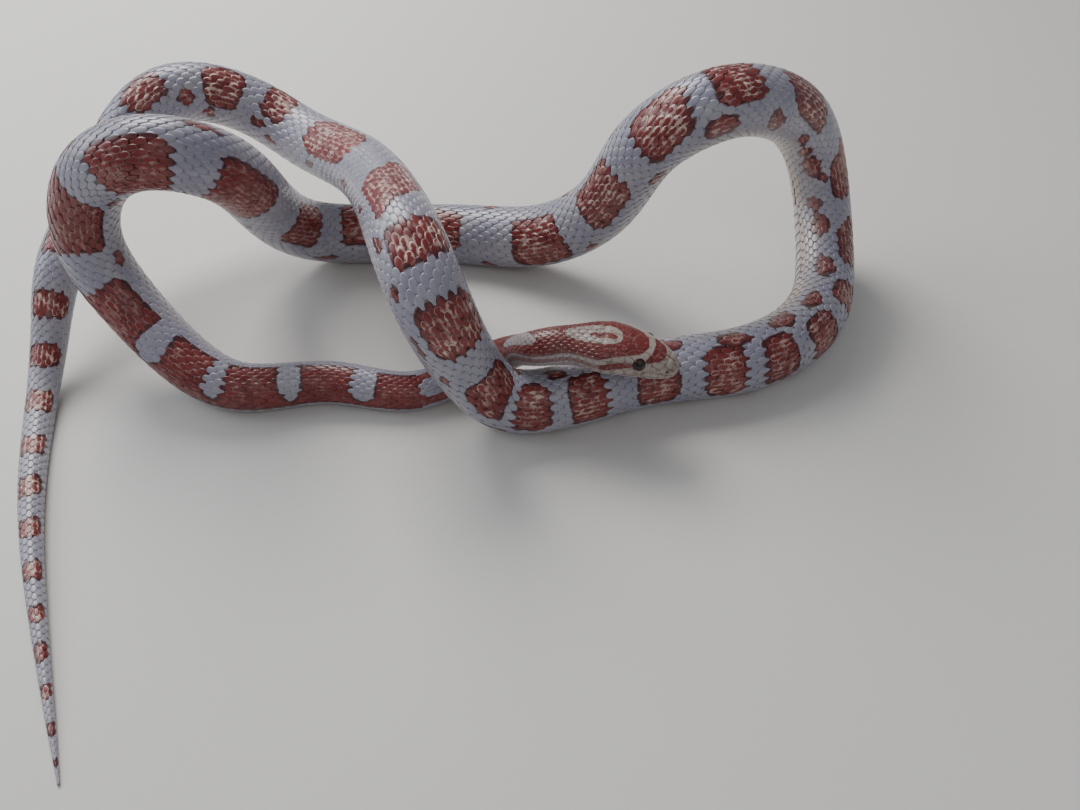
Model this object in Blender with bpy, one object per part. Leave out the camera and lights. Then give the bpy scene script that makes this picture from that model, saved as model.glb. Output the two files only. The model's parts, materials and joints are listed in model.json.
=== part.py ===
"""Corn snake, a still life-size model of a grown animal in a loose double loop.

Lengths in the tables are millimetres, and the meshes are metres with +Z up.
The body is one smooth route from the snout to the tail's tip. It is cut into named
lengths, and every length is lofted from the same width profile and the same section.
"""

import math

import bmesh
import bpy
import numpy as np
from mathutils import Vector

MM = 0.001

# The middle of the finished footprint, in the route's own coordinates
FOOTPRINT_MIDDLE = (-29.414, 215.342)

# The route runs through the middle of the body, from the snout to the tail's tip
ROUTE = (
    # head, lying on the front stretch
    (45.7, 205.3, 29.2),
    (26.8, 211.7, 31.9),
    (7.6, 214.5, 31.7),
    # neck, behind the rising diagonal and down to the floor
    (-0.3, 215.6, 29.6),
    (-8.2, 225.4, 19.2),
    (-20.6, 229.6, 9.6),
    (-45.2, 219.0, 5.7),
    # left stretch on the floor
    (-75.3, 222.1, 6.7),
    (-104.6, 218.9, 7.4),
    # left loop, up, over and down
    (-125.1, 224.8, 12.9),
    (-148.3, 241.2, 29.2),
    (-157.3, 249.0, 50.0),
    (-148.5, 251.1, 72.1),
    (-124.9, 247.8, 84.1),
    (-107.8, 257.3, 73.6),
    (-105.4, 282.9, 43.4),
    (-97.4, 302.8, 17.6),
    # rear stretch on the floor
    (-72.0, 310.0, 10.3),
    (-31.0, 308.7, 10.6),
    (1.1, 299.2, 17.1),
    # right loop, up, over and down to the right
    (25.0, 290.6, 37.6),
    (38.2, 278.3, 69.8),
    (57.9, 276.1, 85.2),
    (79.8, 289.8, 80.3),
    (101.4, 306.6, 61.6),
    (114.7, 309.4, 32.8),
    (115.3, 286.1, 15.1),
    # front stretch on the floor
    (103.6, 252.1, 11.0),
    (73.7, 229.8, 10.8),
    (39.3, 222.2, 11.2),
    (7.7, 210.9, 10.7),
    (-12.8, 208.6, 12.5),
    # diagonal, up and away to the back left
    (-24.3, 209.3, 27.3),
    (-32.8, 208.3, 52.3),
    (-41.1, 223.4, 64.8),
    (-53.8, 262.0, 58.5),
    (-71.0, 297.6, 51.1),
    (-97.0, 326.1, 46.3),
    # back loop, round the far left corner and down
    (-120.3, 337.0, 55.0),
    (-146.2, 329.4, 64.4),
    (-163.2, 314.7, 56.7),
    (-173.4, 288.0, 42.0),
    (-178.2, 257.2, 31.2),
    (-180.6, 238.9, 15.9),
    # tail, laid along the floor to the front
    (-178.4, 213.8, 4.7),
    (-165.1, 171.3, 3.4),
    (-146.0, 128.7, 2.4),
    (-122.5, 82.0, 0.5),
)

# Half width of the body at each distance from the snout
HALF_WIDTHS = (
    (38, 7.0),
    (60, 6.1),
    (106, 7.4),
    (150, 8.3),
    (188, 10.0),
    (235, 11.2),
    (300, 12.0),
    (390, 12.6),
    (480, 13.0),
    (600, 12.6),
    (680, 12.4),
    (760, 12.8),
    (840, 11.8),
    (862, 11.5),
    (885, 11.4),
    (915, 12.2),
    (940, 12.8),
    (1065, 12.1),
    (1118, 11.7),
    (1157, 10.3),
    (1219, 8.3),
    (1242, 6.7),
    (1270, 5.3),
    (1307, 4.4),
    (1355, 3.0),
    (1396, 1.5),
    (1416, 0.5),
)

# Where the middle of the back points, at each distance from the snout
BACK_DIRECTIONS = (
    (0, (0.0, 0.0, 1.0)),
    (40, (0.0, 0.0, 1.0)),
    (57, (0.15, -0.35, 0.90)),
    (80, (0.10, -0.50, 0.85)),
    (106, (0.25, -0.67, 0.70)),
    (174, (0.00, -0.65, 0.76)),
    (202, (-0.10, -0.73, 0.67)),
    (225, (-0.05, -0.90, 0.45)),
    (255, (-0.10, -0.97, 0.20)),
    (285, (-0.20, -0.95, 0.25)),
    (303, (0.20, -0.92, 0.32)),
    (357, (0.70, -0.60, -0.20)),
    (387, (0.60, -0.60, 0.50)),
    (420, (0.10, -0.50, 0.87)),
    (476, (-0.16, -0.76, 0.63)),
    (516, (-0.63, -0.72, 0.30)),
    (575, (-0.58, -0.78, 0.24)),
    (594, (0.00, -0.47, 0.88)),
    (609, (0.38, -0.19, 0.90)),
    (636, (0.73, -0.34, 0.59)),
    (656, (0.79, -0.49, 0.36)),
    (739, (0.85, -0.40, 0.34)),
    (774, (0.57, -0.78, 0.24)),
    (807, (0.19, -0.92, 0.35)),
    (873, (0.17, -0.85, 0.50)),
    (896, (0.58, -0.74, 0.35)),
    (936, (0.30, -0.67, 0.68)),
    (950, (0.11, -0.13, 0.99)),
    (997, (-0.22, 0.09, 0.97)),
    (1045, (-0.45, -0.19, 0.87)),
    (1083, (-0.04, -0.50, 0.87)),
    (1118, (0.40, -0.55, 0.73)),
    (1157, (0.45, -0.66, 0.60)),
    (1197, (0.60, -0.36, 0.72)),
    (1255, (0.30, -0.10, 0.95)),
    (1416, (0.20, 0.00, 0.98)),
)

# The body's section: the back is rounded, the belly flatter with fuller corners
BACK_HEIGHT = 0.97
BELLY_DEPTH = 0.84
BELLY_CORNER = 0.82
BODY_SIDES = 16
RING_SPACING = 6.0
ROUTE_SAMPLES = 6000
DIRECTION_REACH = 1.5

# Where each length begins and ends, in distance from the snout
HEAD_END = 38.0
NECK_END = 112.0
TORSO_ENDS = (190, 262, 338, 418, 500, 566, 650, 730, 810, 866, 962, 1034, 1105, 1162, 1218)
JOINT_GAP = 0.4
TIP_BLUNTNESS = 0.2

# The head's half width, height above the route and depth below it, behind the snout
HEAD_PROFILE = (
    (0.0, 1.2, 0.8, 0.7),
    (0.5, 2.6, 1.7, 1.4),
    (1.5, 3.8, 2.6, 2.2),
    (3.0, 4.9, 3.6, 3.0),
    (6.0, 6.4, 4.7, 3.8),
    (9.0, 7.3, 5.4, 4.3),
    (13.0, 8.4, 6.2, 4.8),
    (18.0, 9.6, 6.8, 5.0),
    (24.0, 10.4, 7.1, 5.2),
    (28.0, 10.0, 7.0, 5.4),
    (33.0, 8.4, 6.6, 5.5),
    (38.0, 7.1, 6.4, 5.5),
)
HEAD_RINGS = 34
CROWN_FLATNESS = 0.82

# Angles round the head from the middle of the crown, with the mouth line between lips
UPPER_ANGLES = (0, 15, 30, 45, 58, 70, 82, 92, 99)
MOUTH_ANGLE = 103
LOWER_ANGLES = (107, 118, 132, 148, 164, 180)
MOUTH_DEPTH = 0.75
MOUTH_CORNER = 27.0
MOUTH_START = 0.7
LIP_OVERHANG = 0.35
CHIN_HALF_WIDTH = 1.0

EYE_RADIUS = 2.6
EYE_BEHIND_SNOUT = 12.8
EYE_OUT = 6.05
EYE_UP = 2.3
SOCKET_GAP = 0.3

# Each nostril is a pit that narrows inward and a little down and back
NOSTRIL_BEHIND_SNOUT = 2.9
NOSTRIL_OUT = 4.5
NOSTRIL_UP = 1.5
NOSTRIL_BOTTOM_RADIUS = 0.3
NOSTRIL_MOUTH_RADIUS = 0.7
NOSTRIL_LENGTH = 2.4
NOSTRIL_AIM_BACK = 0.6
NOSTRIL_AIM_DOWN = 0.3


def smooth_curve(knots, values):
    """A function that runs smoothly through the values, as a natural cubic spline."""
    knots = np.asarray(knots, float)
    values = np.asarray(values, float)
    count = len(knots)
    step = np.diff(knots)
    system = np.eye(count)
    right = np.zeros_like(values)
    for i in range(1, count - 1):
        system[i, i - 1 : i + 2] = (step[i - 1], 2 * (step[i - 1] + step[i]), step[i])
        slope_after = (values[i + 1] - values[i]) / step[i]
        slope_before = (values[i] - values[i - 1]) / step[i - 1]
        right[i] = 6 * (slope_after - slope_before)
    bend = np.linalg.solve(system, right)

    def at(where):
        i = int(np.clip(np.searchsorted(knots, where) - 1, 0, count - 2))
        ahead = knots[i + 1] - where
        behind = where - knots[i]
        h = step[i]
        cubic = (bend[i] * ahead**3 + bend[i + 1] * behind**3) / (6 * h)
        start = (values[i] / h - bend[i] * h / 6) * ahead
        end = (values[i + 1] / h - bend[i + 1] * h / 6) * behind
        return cubic + start + end

    return at


def measured_route():
    """The route as many close points, with the distance from the snout at each."""
    points = np.array(ROUTE) - (*FOOTPRINT_MIDDLE, 0.0)
    chords = np.linalg.norm(np.diff(points, axis=0), axis=1)
    knots = np.concatenate([[0.0], np.cumsum(np.sqrt(chords))])
    curve = smooth_curve(knots, points)
    close = np.array([curve(t) for t in np.linspace(0, knots[-1], ROUTE_SAMPLES)])
    steps = np.linalg.norm(np.diff(close, axis=0), axis=1)
    return close, np.concatenate([[0.0], np.cumsum(steps)])


POINTS, DISTANCES = measured_route()
LENGTH = DISTANCES[-1]


def place(s):
    """The middle of the body at a distance from the snout."""
    return np.array([np.interp(s, DISTANCES, POINTS[:, axis]) for axis in range(3)])


def frame(s):
    """Place, direction towards the tail, the back's direction and the side's."""
    tangent = place(min(s + DIRECTION_REACH, LENGTH)) - place(max(s - DIRECTION_REACH, 0))
    tangent /= np.linalg.norm(tangent)
    marks = [mark for mark, _ in BACK_DIRECTIONS]
    hints = np.array([hint for _, hint in BACK_DIRECTIONS])
    back = np.array([np.interp(s, marks, hints[:, axis]) for axis in range(3)])
    back -= tangent * back.dot(tangent)
    back /= np.linalg.norm(back)
    return place(s), tangent, back, np.cross(tangent, back)


def half_width(s):
    """Half the body's width at a distance from the snout."""
    marks, widths = zip(*HALF_WIDTHS)
    return float(np.interp(s, marks, widths))


def section_point(angle, width):
    """Sideways and upward place on the body's outline, the angle counted from the back."""
    across = math.sin(angle)
    up = math.cos(angle)
    if up >= 0:
        return width * across, width * BACK_HEIGHT * up
    across = math.copysign(abs(across) ** BELLY_CORNER, across)
    return width * across, -width * BELLY_DEPTH * abs(up) ** BELLY_CORNER


def to_world(s, across, up):
    """The point that far sideways and towards the back from the route."""
    middle, _, back, side = frame(s)
    return Vector((middle + side * across + back * up) * MM)


def body_ring(s):
    ring = []
    for k in range(BODY_SIDES):
        across, up = section_point(2 * math.pi * k / BODY_SIDES, half_width(s))
        ring.append(to_world(s, across, up))
    return ring


def loft(bm, rings):
    """Closed body through rings of equal count, with a flat cap at each end."""
    rows = [[bm.verts.new(point) for point in ring] for ring in rings]
    for one, other in zip(rows, rows[1:]):
        for k in range(len(one)):
            n = (k + 1) % len(one)
            bm.faces.new((one[k], one[n], other[n], other[k]))
    bm.faces.new(list(reversed(rows[0])))
    bm.faces.new(rows[-1])
    bmesh.ops.recalc_face_normals(bm, faces=bm.faces)


def cut_flat_on_floor(bm):
    """Takes off what would reach below the floor, which leaves a small flat there."""
    if min(vert.co.z for vert in bm.verts) >= 0:
        return
    everything = bm.verts[:] + bm.edges[:] + bm.faces[:]
    bmesh.ops.bisect_plane(
        bm, geom=everything, plane_co=(0, 0, 0), plane_no=(0, 0, -1), dist=1e-7, clear_outer=True
    )
    open_edges = [edge for edge in bm.edges if edge.is_boundary]
    bmesh.ops.holes_fill(bm, edges=open_edges, sides=0)
    bmesh.ops.triangulate(bm, faces=bm.faces)
    bmesh.ops.recalc_face_normals(bm, faces=bm.faces)


def material(name, colour, roughness):
    mat = bpy.data.materials.new(name)
    mat.use_nodes = True
    shader = mat.node_tree.nodes["Principled BSDF"]
    shader.inputs["Base Color"].default_value = (*colour, 1.0)
    shader.inputs["Roughness"].default_value = roughness
    shader.inputs["Metallic"].default_value = 0.0
    return mat


def finished(name, bm, mat):
    mesh = bpy.data.meshes.new(name)
    bm.to_mesh(mesh)
    bm.free()
    mesh.shade_smooth()
    mesh.set_sharp_from_angle(angle=math.radians(40))
    mesh.materials.append(mat)
    obj = bpy.data.objects.new(name, mesh)
    bpy.context.scene.collection.objects.link(obj)
    return obj


def body_length(name, start, end, mat):
    """One named length of the body, with a ring about every few millimetres."""
    start += JOINT_GAP / 2
    end -= JOINT_GAP / 2 if end < LENGTH else TIP_BLUNTNESS
    count = max(3, round((end - start) / RING_SPACING))
    bm = bmesh.new()
    loft(bm, [body_ring(start + (end - start) * i / count) for i in range(count + 1)])
    cut_flat_on_floor(bm)
    return finished(name, bm, mat)


def head_sizes(s):
    """Half width, height and depth of the head at a distance behind the snout."""
    marks, *columns = zip(*HEAD_PROFILE)
    return [float(np.interp(s, marks, column)) for column in columns]


def head_outline_point(s, degrees):
    """Sideways and upward place on the head's outline at an angle from the crown."""
    width, height, depth = head_sizes(s)
    angle = math.radians(degrees)
    across = math.copysign(abs(math.sin(angle)) ** CROWN_FLATNESS, math.sin(angle))
    up = abs(math.cos(angle)) ** CROWN_FLATNESS
    up *= height if math.cos(angle) >= 0 else -depth
    return across * width, up


def head_ring(s):
    """One ring of the head, drawn in at the mouth line, with the lower lip set back."""
    angles = [*UPPER_ANGLES, MOUTH_ANGLE, *LOWER_ANGLES]
    angles += [360 - angle for angle in reversed(angles[1:-1])]
    groove = MOUTH_START < s < MOUTH_CORNER
    ring = []
    for degrees in angles:
        across, up = head_outline_point(s, degrees)
        folded = min(degrees, 360 - degrees)
        if groove and folded == MOUTH_ANGLE:
            across -= math.copysign(MOUTH_DEPTH, across)
        elif folded > MOUTH_ANGLE and s < MOUTH_CORNER and abs(across) > CHIN_HALF_WIDTH:
            across -= math.copysign(LIP_OVERHANG, across)
        ring.append(to_world(s, across, up))
    return ring


def head_stations():
    """Distances behind the snout, closer together towards its rounded tip."""
    end = HEAD_END - JOINT_GAP / 2
    return [end * (i / HEAD_RINGS) ** 1.5 for i in range(HEAD_RINGS + 1)]


def ball(centre, radius, segments, rings):
    bm = bmesh.new()
    bmesh.ops.create_uvsphere(bm, u_segments=segments, v_segments=rings, radius=radius * MM)
    bmesh.ops.translate(bm, verts=bm.verts, vec=centre)
    return bm


def cutter(name, bm):
    obj = finished(name, bm, material(name, (0.5, 0.5, 0.5), 0.5))
    obj.hide_render = True
    obj.display_type = "WIRE"
    return obj


def cut(target, tool):
    modifier = target.modifiers.new(tool.name, "BOOLEAN")
    modifier.operation = "DIFFERENCE"
    modifier.solver = "EXACT"
    modifier.object = tool


def eye_centre(side):
    return to_world(EYE_BEHIND_SNOUT, side * EYE_OUT, EYE_UP)


def nostril_cutter(name, side):
    """A small tapered plug that points into the snout."""
    centre = to_world(NOSTRIL_BEHIND_SNOUT, side * NOSTRIL_OUT, NOSTRIL_UP)
    inner = to_world(NOSTRIL_BEHIND_SNOUT + NOSTRIL_AIM_BACK, 0, NOSTRIL_UP - NOSTRIL_AIM_DOWN)
    bm = bmesh.new()
    bmesh.ops.create_cone(
        bm,
        cap_ends=True,
        segments=8,
        radius1=NOSTRIL_BOTTOM_RADIUS * MM,
        radius2=NOSTRIL_MOUTH_RADIUS * MM,
        depth=NOSTRIL_LENGTH * MM,
    )
    outward = (centre - inner).normalized()
    turn = outward.to_track_quat("Z", "Y").to_matrix()
    bmesh.ops.rotate(bm, verts=bm.verts, cent=(0, 0, 0), matrix=turn)
    bmesh.ops.translate(bm, verts=bm.verts, vec=centre)
    return cutter(name, bm)


def build_head(mat, eye_mat):
    bm = bmesh.new()
    loft(bm, [head_ring(s) for s in head_stations()])
    head = finished("head", bm, mat)
    for side, name in ((1, "right"), (-1, "left")):
        socket = ball(eye_centre(side), EYE_RADIUS + SOCKET_GAP, 20, 12)
        cut(head, cutter(f"socket_{name}", socket))
        cut(head, nostril_cutter(f"nostril_{name}", side))
        finished(f"eye_{name}", ball(eye_centre(side), EYE_RADIUS, 16, 10), eye_mat)


def main():
    for obj in list(bpy.data.objects):
        bpy.data.objects.remove(obj, do_unlink=True)
    skin = material("scaled_skin", (0.42, 0.22, 0.19), 0.42)
    head_skin = material("head_skin", (0.46, 0.25, 0.21), 0.38)
    tail_skin = material("tail_skin", (0.44, 0.30, 0.28), 0.42)
    eye = material("dark_eye", (0.02, 0.015, 0.015), 0.08)
    build_head(head_skin, eye)
    body_length("neck", HEAD_END, NECK_END, skin)
    starts = (NECK_END, *TORSO_ENDS[:-1])
    for number, (start, end) in enumerate(zip(starts, TORSO_ENDS), 1):
        body_length(f"torso_{number:02d}", start, end, skin)
    body_length("tail", TORSO_ENDS[-1], LENGTH, tail_skin)


main()
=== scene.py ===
# %% [markdown]
# # A corn snake at rest
#
# This scene dresses the solid parts of a life-size snake: one skin, its scales, and two eyes.
# From the head on, the body lies on the floor three times and each time stands up in a loop,
# and it ends in a tail that runs along the floor towards the viewer. Everything is placed by
# two numbers, the distance from the snout along the body and the angle round it, so that the
# skin, the scales and the colours always agree.

import json
import math

import bpy
import numpy as np
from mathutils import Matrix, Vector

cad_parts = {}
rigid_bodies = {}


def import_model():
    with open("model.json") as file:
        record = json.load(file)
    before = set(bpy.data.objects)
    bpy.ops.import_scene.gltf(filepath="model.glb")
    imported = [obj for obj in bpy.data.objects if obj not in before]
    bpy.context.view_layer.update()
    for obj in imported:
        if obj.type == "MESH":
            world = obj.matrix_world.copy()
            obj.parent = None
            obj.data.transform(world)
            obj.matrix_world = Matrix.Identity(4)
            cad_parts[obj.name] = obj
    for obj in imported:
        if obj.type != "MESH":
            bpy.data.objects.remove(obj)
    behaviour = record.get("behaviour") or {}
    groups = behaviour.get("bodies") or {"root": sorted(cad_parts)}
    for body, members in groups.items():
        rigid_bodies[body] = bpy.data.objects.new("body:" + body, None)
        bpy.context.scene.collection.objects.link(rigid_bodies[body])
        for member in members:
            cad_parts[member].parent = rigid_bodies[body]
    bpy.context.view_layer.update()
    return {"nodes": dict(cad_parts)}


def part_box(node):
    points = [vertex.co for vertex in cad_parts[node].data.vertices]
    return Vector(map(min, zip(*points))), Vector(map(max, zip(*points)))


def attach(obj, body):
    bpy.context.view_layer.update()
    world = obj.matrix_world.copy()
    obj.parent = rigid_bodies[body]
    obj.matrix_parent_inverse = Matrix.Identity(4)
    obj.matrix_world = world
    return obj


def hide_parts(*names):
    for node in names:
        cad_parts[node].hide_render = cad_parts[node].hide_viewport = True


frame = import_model()

# %% [markdown]
# ## The route of the body
#
# A snake is a tube round a line. Here the line goes through a few dozen named places, in
# millimetres, each where the body passes a point of the pose. The straight distances between
# them set how the curve shares its length, and a natural cubic spline joins them. A bezier curve
# object would also do, but with the numbers in an array every later step can ask for any place.

# %% The route's places
MM = 0.001
FOOTPRINT_MIDDLE = (-29.414, 215.342)
ROUTE = (
    # head, lying on the front stretch
    (45.7, 205.3, 29.2),
    (26.8, 211.7, 31.9),
    (7.6, 214.5, 31.7),
    # neck, behind the rising diagonal and down to the floor
    (-0.3, 215.6, 29.6),
    (-8.2, 225.4, 19.2),
    (-20.6, 229.6, 9.6),
    (-45.2, 219.0, 5.7),
    # left stretch on the floor
    (-75.3, 222.1, 6.7),
    (-104.6, 218.9, 7.4),
    # left loop, up, over and down
    (-125.1, 224.8, 12.9),
    (-148.3, 241.2, 29.2),
    (-157.3, 249.0, 50.0),
    (-148.5, 251.1, 72.1),
    (-124.9, 247.8, 84.1),
    (-107.8, 257.3, 73.6),
    (-105.4, 282.9, 43.4),
    (-97.4, 302.8, 17.6),
    # rear stretch on the floor
    (-72.0, 310.0, 10.3),
    (-31.0, 308.7, 10.6),
    (1.1, 299.2, 17.1),
    # right loop, up, over and down to the right
    (25.0, 290.6, 37.6),
    (38.2, 278.3, 69.8),
    (57.9, 276.1, 85.2),
    (79.8, 289.8, 80.3),
    (101.4, 306.6, 61.6),
    (114.7, 309.4, 32.8),
    (115.3, 286.1, 15.1),
    # front stretch on the floor
    (103.6, 252.1, 11.0),
    (73.7, 229.8, 10.8),
    (39.3, 222.2, 11.2),
    (7.7, 210.9, 10.7),
    (-12.8, 208.6, 12.5),
    # diagonal, up and away to the back left
    (-24.3, 209.3, 27.3),
    (-32.8, 208.3, 52.3),
    (-41.1, 223.4, 64.8),
    (-53.8, 262.0, 58.5),
    (-71.0, 297.6, 51.1),
    (-97.0, 326.1, 46.3),
    # back loop, round the far left corner and down
    (-120.3, 337.0, 55.0),
    (-146.2, 329.4, 64.4),
    (-163.2, 314.7, 56.7),
    (-173.4, 288.0, 42.0),
    (-178.2, 257.2, 31.2),
    (-180.6, 238.9, 15.9),
    # tail, laid along the floor to the front
    (-178.4, 213.8, 4.7),
    (-165.1, 171.3, 3.4),
    (-146.0, 128.7, 2.4),
    (-122.5, 82.0, 0.5),
)
print(len(ROUTE), "places on the route")

# %% A smooth line through them
ROUTE_SAMPLES = 6000


def smooth_curve(knots, values):
    """A function that runs smoothly through the values, as a natural cubic spline."""
    count = len(knots)
    step = np.diff(knots)
    system = np.eye(count)
    right = np.zeros_like(values)
    for i in range(1, count - 1):
        system[i, i - 1 : i + 2] = (step[i - 1], 2 * (step[i - 1] + step[i]), step[i])
        slope_after = (values[i + 1] - values[i]) / step[i]
        slope_before = (values[i] - values[i - 1]) / step[i - 1]
        right[i] = 6 * (slope_after - slope_before)
    bend = np.linalg.solve(system, right)

    def at(where):
        i = np.clip(np.searchsorted(knots, where) - 1, 0, count - 2)
        ahead = (knots[i + 1] - where)[:, None]
        behind = (where - knots[i])[:, None]
        h = step[i][:, None]
        cubic = (bend[i] * ahead**3 + bend[i + 1] * behind**3) / (6 * h)
        start = (values[i] / h - bend[i] * h / 6) * ahead
        end = (values[i + 1] / h - bend[i + 1] * h / 6) * behind
        return cubic + start + end

    return at


def hops(points):
    """The distance from each point to the next."""
    return np.linalg.norm(np.diff(points, axis=0), axis=1)


def running_sum(amounts):
    """What the amounts add up to, before the first and after each of them."""
    return np.concatenate([[0], np.cumsum(amounts)])


places = np.array(ROUTE) - (*FOOTPRINT_MIDDLE, 0.0)
knots = running_sum(np.sqrt(hops(places)))
POINTS = smooth_curve(knots, places)(np.linspace(0, knots[-1], ROUTE_SAMPLES))
DISTANCES = running_sum(hops(POINTS))
LENGTH = DISTANCES[-1]
print(f"route length {LENGTH:.1f} mm")

# %% [markdown]
# ## Which way the back faces, and how wide the body is
#
# The back turns slowly round the route. A table holds its direction at a few distances, and the
# half width at others. At every distance there is then a small frame of three directions:
# towards the tail, out of the back, and to the side.

# %% Back directions and widths
# Distance in millimetres, and the direction of the back there
BACK_DIRECTIONS = (
    (0, 0.0, 0.0, 1.0),
    (40, 0.0, 0.0, 1.0),
    (57, 0.15, -0.35, 0.90),
    (80, 0.10, -0.50, 0.85),
    (106, 0.25, -0.67, 0.70),
    (174, 0.00, -0.65, 0.76),
    (202, -0.10, -0.73, 0.67),
    (225, -0.05, -0.90, 0.45),
    (255, -0.10, -0.97, 0.20),
    (285, -0.20, -0.95, 0.25),
    (303, 0.20, -0.92, 0.32),
    (357, 0.70, -0.60, -0.20),
    (387, 0.60, -0.60, 0.50),
    (420, 0.10, -0.50, 0.87),
    (476, -0.16, -0.76, 0.63),
    (516, -0.63, -0.72, 0.30),
    (575, -0.58, -0.78, 0.24),
    (594, 0.00, -0.47, 0.88),
    (609, 0.38, -0.19, 0.90),
    (636, 0.73, -0.34, 0.59),
    (656, 0.79, -0.49, 0.36),
    (739, 0.85, -0.40, 0.34),
    (774, 0.57, -0.78, 0.24),
    (807, 0.19, -0.92, 0.35),
    (873, 0.17, -0.85, 0.50),
    (896, 0.58, -0.74, 0.35),
    (936, 0.30, -0.67, 0.68),
    (950, 0.11, -0.13, 0.99),
    (997, -0.22, 0.09, 0.97),
    (1045, -0.45, -0.19, 0.87),
    (1083, -0.04, -0.50, 0.87),
    (1118, 0.40, -0.55, 0.73),
    (1157, 0.45, -0.66, 0.60),
    (1197, 0.60, -0.36, 0.72),
    (1255, 0.30, -0.10, 0.95),
    (1416, 0.20, 0.00, 0.98),
)
# Distance, and half the body's width there
HALF_WIDTHS = (
    (38, 7.0),
    (60, 6.1),
    (106, 7.4),
    (150, 8.3),
    (188, 10.0),
    (235, 11.2),
    (300, 12.0),
    (390, 12.6),
    (480, 13.0),
    (600, 12.6),
    (680, 12.4),
    (760, 12.8),
    (840, 11.8),
    (862, 11.5),
    (885, 11.4),
    (915, 12.2),
    (940, 12.8),
    (1065, 12.1),
    (1118, 11.7),
    (1157, 10.3),
    (1219, 8.3),
    (1242, 6.7),
    (1270, 5.3),
    (1307, 4.4),
    (1355, 3.0),
    (1396, 1.5),
    (1416, 0.5),
)
print(f"widest {2 * max(width for _, width in HALF_WIDTHS):.1f} mm across")

# %% A small frame at every distance
DIRECTION_REACH = 1.5


def table(rows, where):
    """Every column of a table, read at those distances."""
    marks, *columns = zip(*rows)
    return [np.interp(where, marks, column) for column in columns]


def unit(vectors):
    return vectors / np.linalg.norm(vectors, axis=-1, keepdims=True)


def place(s):
    """The route's point at each distance."""
    return np.stack([np.interp(s, DISTANCES, POINTS[:, axis]) for axis in range(3)], -1)


def body_frame(s):
    """Middle, and the directions towards the tail, out of the back and to the side."""
    tangent = unit(place(s + DIRECTION_REACH) - place(s - DIRECTION_REACH))
    back = np.stack(table(BACK_DIRECTIONS, s), -1)
    back = unit(back - tangent * (back * tangent).sum(-1, keepdims=True))
    return place(s), tangent, back, np.cross(tangent, back)


def half_width(s):
    return table(HALF_WIDTHS, s)[0]


back_there = body_frame(np.array([600.0]))[2][0]
print("on the rising diagonal the back faces", np.round(back_there, 2))

# %% [markdown]
# ## The body's outline
#
# Across the body the back is round and the belly flatter, with fuller corners. The head has its
# own half width, height and depth. Between them the outline changes over a short length behind
# the jaw, so that the skin has no step. `surface` gives the point at any distance and angle, and
# `outward` the direction square to the skin, found from two short steps along it.

# %% The outline across the body
BACK_HEIGHT = 0.97
BELLY_DEPTH = 0.84
BELLY_CORNER = 0.82
# Distance, half width, height and depth of the head
HEAD_PROFILE = (
    (0.0, 1.2, 0.8, 0.7),
    (0.5, 2.6, 1.7, 1.4),
    (1.5, 3.8, 2.6, 2.2),
    (3.0, 4.9, 3.6, 3.0),
    (6.0, 6.4, 4.7, 3.8),
    (9.0, 7.3, 5.4, 4.3),
    (13.0, 8.4, 6.2, 4.8),
    (18.0, 9.6, 6.8, 5.0),
    (24.0, 10.4, 7.1, 5.2),
    (28.0, 10.0, 7.0, 5.4),
    (33.0, 8.4, 6.6, 5.5),
    (38.0, 7.1, 6.4, 5.5),
)
CROWN_FLATNESS = 0.82
HEAD_FADE = (30.0, 46.0)


def smooth_step(low, high, x):
    """0 before `low`, 1 past `high`, and a soft rise between them."""
    k = np.clip((x - low) / (high - low), 0, 1)
    return k * k * (3 - 2 * k)


def outline(s, angle):
    """Sideways and upward place in mm, with the angle in degrees from the middle of the back."""
    turn = np.radians(angle)
    across, up = np.sin(turn), np.cos(turn)
    width = half_width(s)
    low = up < 0
    corner = np.where(low, BELLY_CORNER, 1.0)
    body_across = np.sign(across) * np.abs(across) ** corner * width
    body_up = np.where(low, -BELLY_DEPTH, BACK_HEIGHT) * np.abs(up) ** corner * width
    head_width, height, depth = table(HEAD_PROFILE, s)
    head_across = np.sign(across) * np.abs(across) ** CROWN_FLATNESS * head_width
    head_up = np.abs(up) ** CROWN_FLATNESS * np.where(low, -depth, height)
    k = smooth_step(*HEAD_FADE, s)
    return body_across * k + head_across * (1 - k), body_up * k + head_up * (1 - k)


print("half width and height at 24 mm:", [round(float(v), 1) for v in table(HEAD_PROFILE, 24)[:2]])

# %% Points on the body and the way out
STEP_ALONG = 0.2
STEP_ROUND = 1.5


def surface(s, angle):
    """Points of the solids' shape, in millimetres from the middle of the footprint."""
    middle, _, back, side = body_frame(s)
    across, up = outline(s, angle)
    return middle + side * across[..., None] + back * up[..., None]


def outward(s, angle):
    """Unit directions square to the surface and away from the body."""
    ahead, behind = np.minimum(s + STEP_ALONG, LENGTH), np.maximum(s - STEP_ALONG, 0)
    along = surface(ahead, angle) - surface(behind, angle)
    round_it = surface(s, angle + STEP_ROUND) - surface(s, angle - STEP_ROUND)
    normal = unit(np.cross(along, round_it))
    facing = ((surface(s, angle) - place(s)) * normal).sum(-1, keepdims=True)
    return normal * np.where(facing < 0, -1, 1)


print("snout point:", np.round(surface(np.array([0.0]), np.array([0.0]))[0], 1), "mm")

# %% [markdown]
# ## Size of the scales
#
# A corn snake has about 27 rows of scales round the middle of the body and one broad belly plate
# for every scale along it, some 200 to 250 down to the vent. So the distance from scale to scale,
# the pitch, follows the width. Over a standing bend the back is longer than the line through the
# body's middle, and in a hollow bend it is shorter, so the scales are counted out along the back.
# The tail has fewer rows as it gets thin. The skin lies as far inside the solids' shape as the
# scales stand above it.

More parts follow.
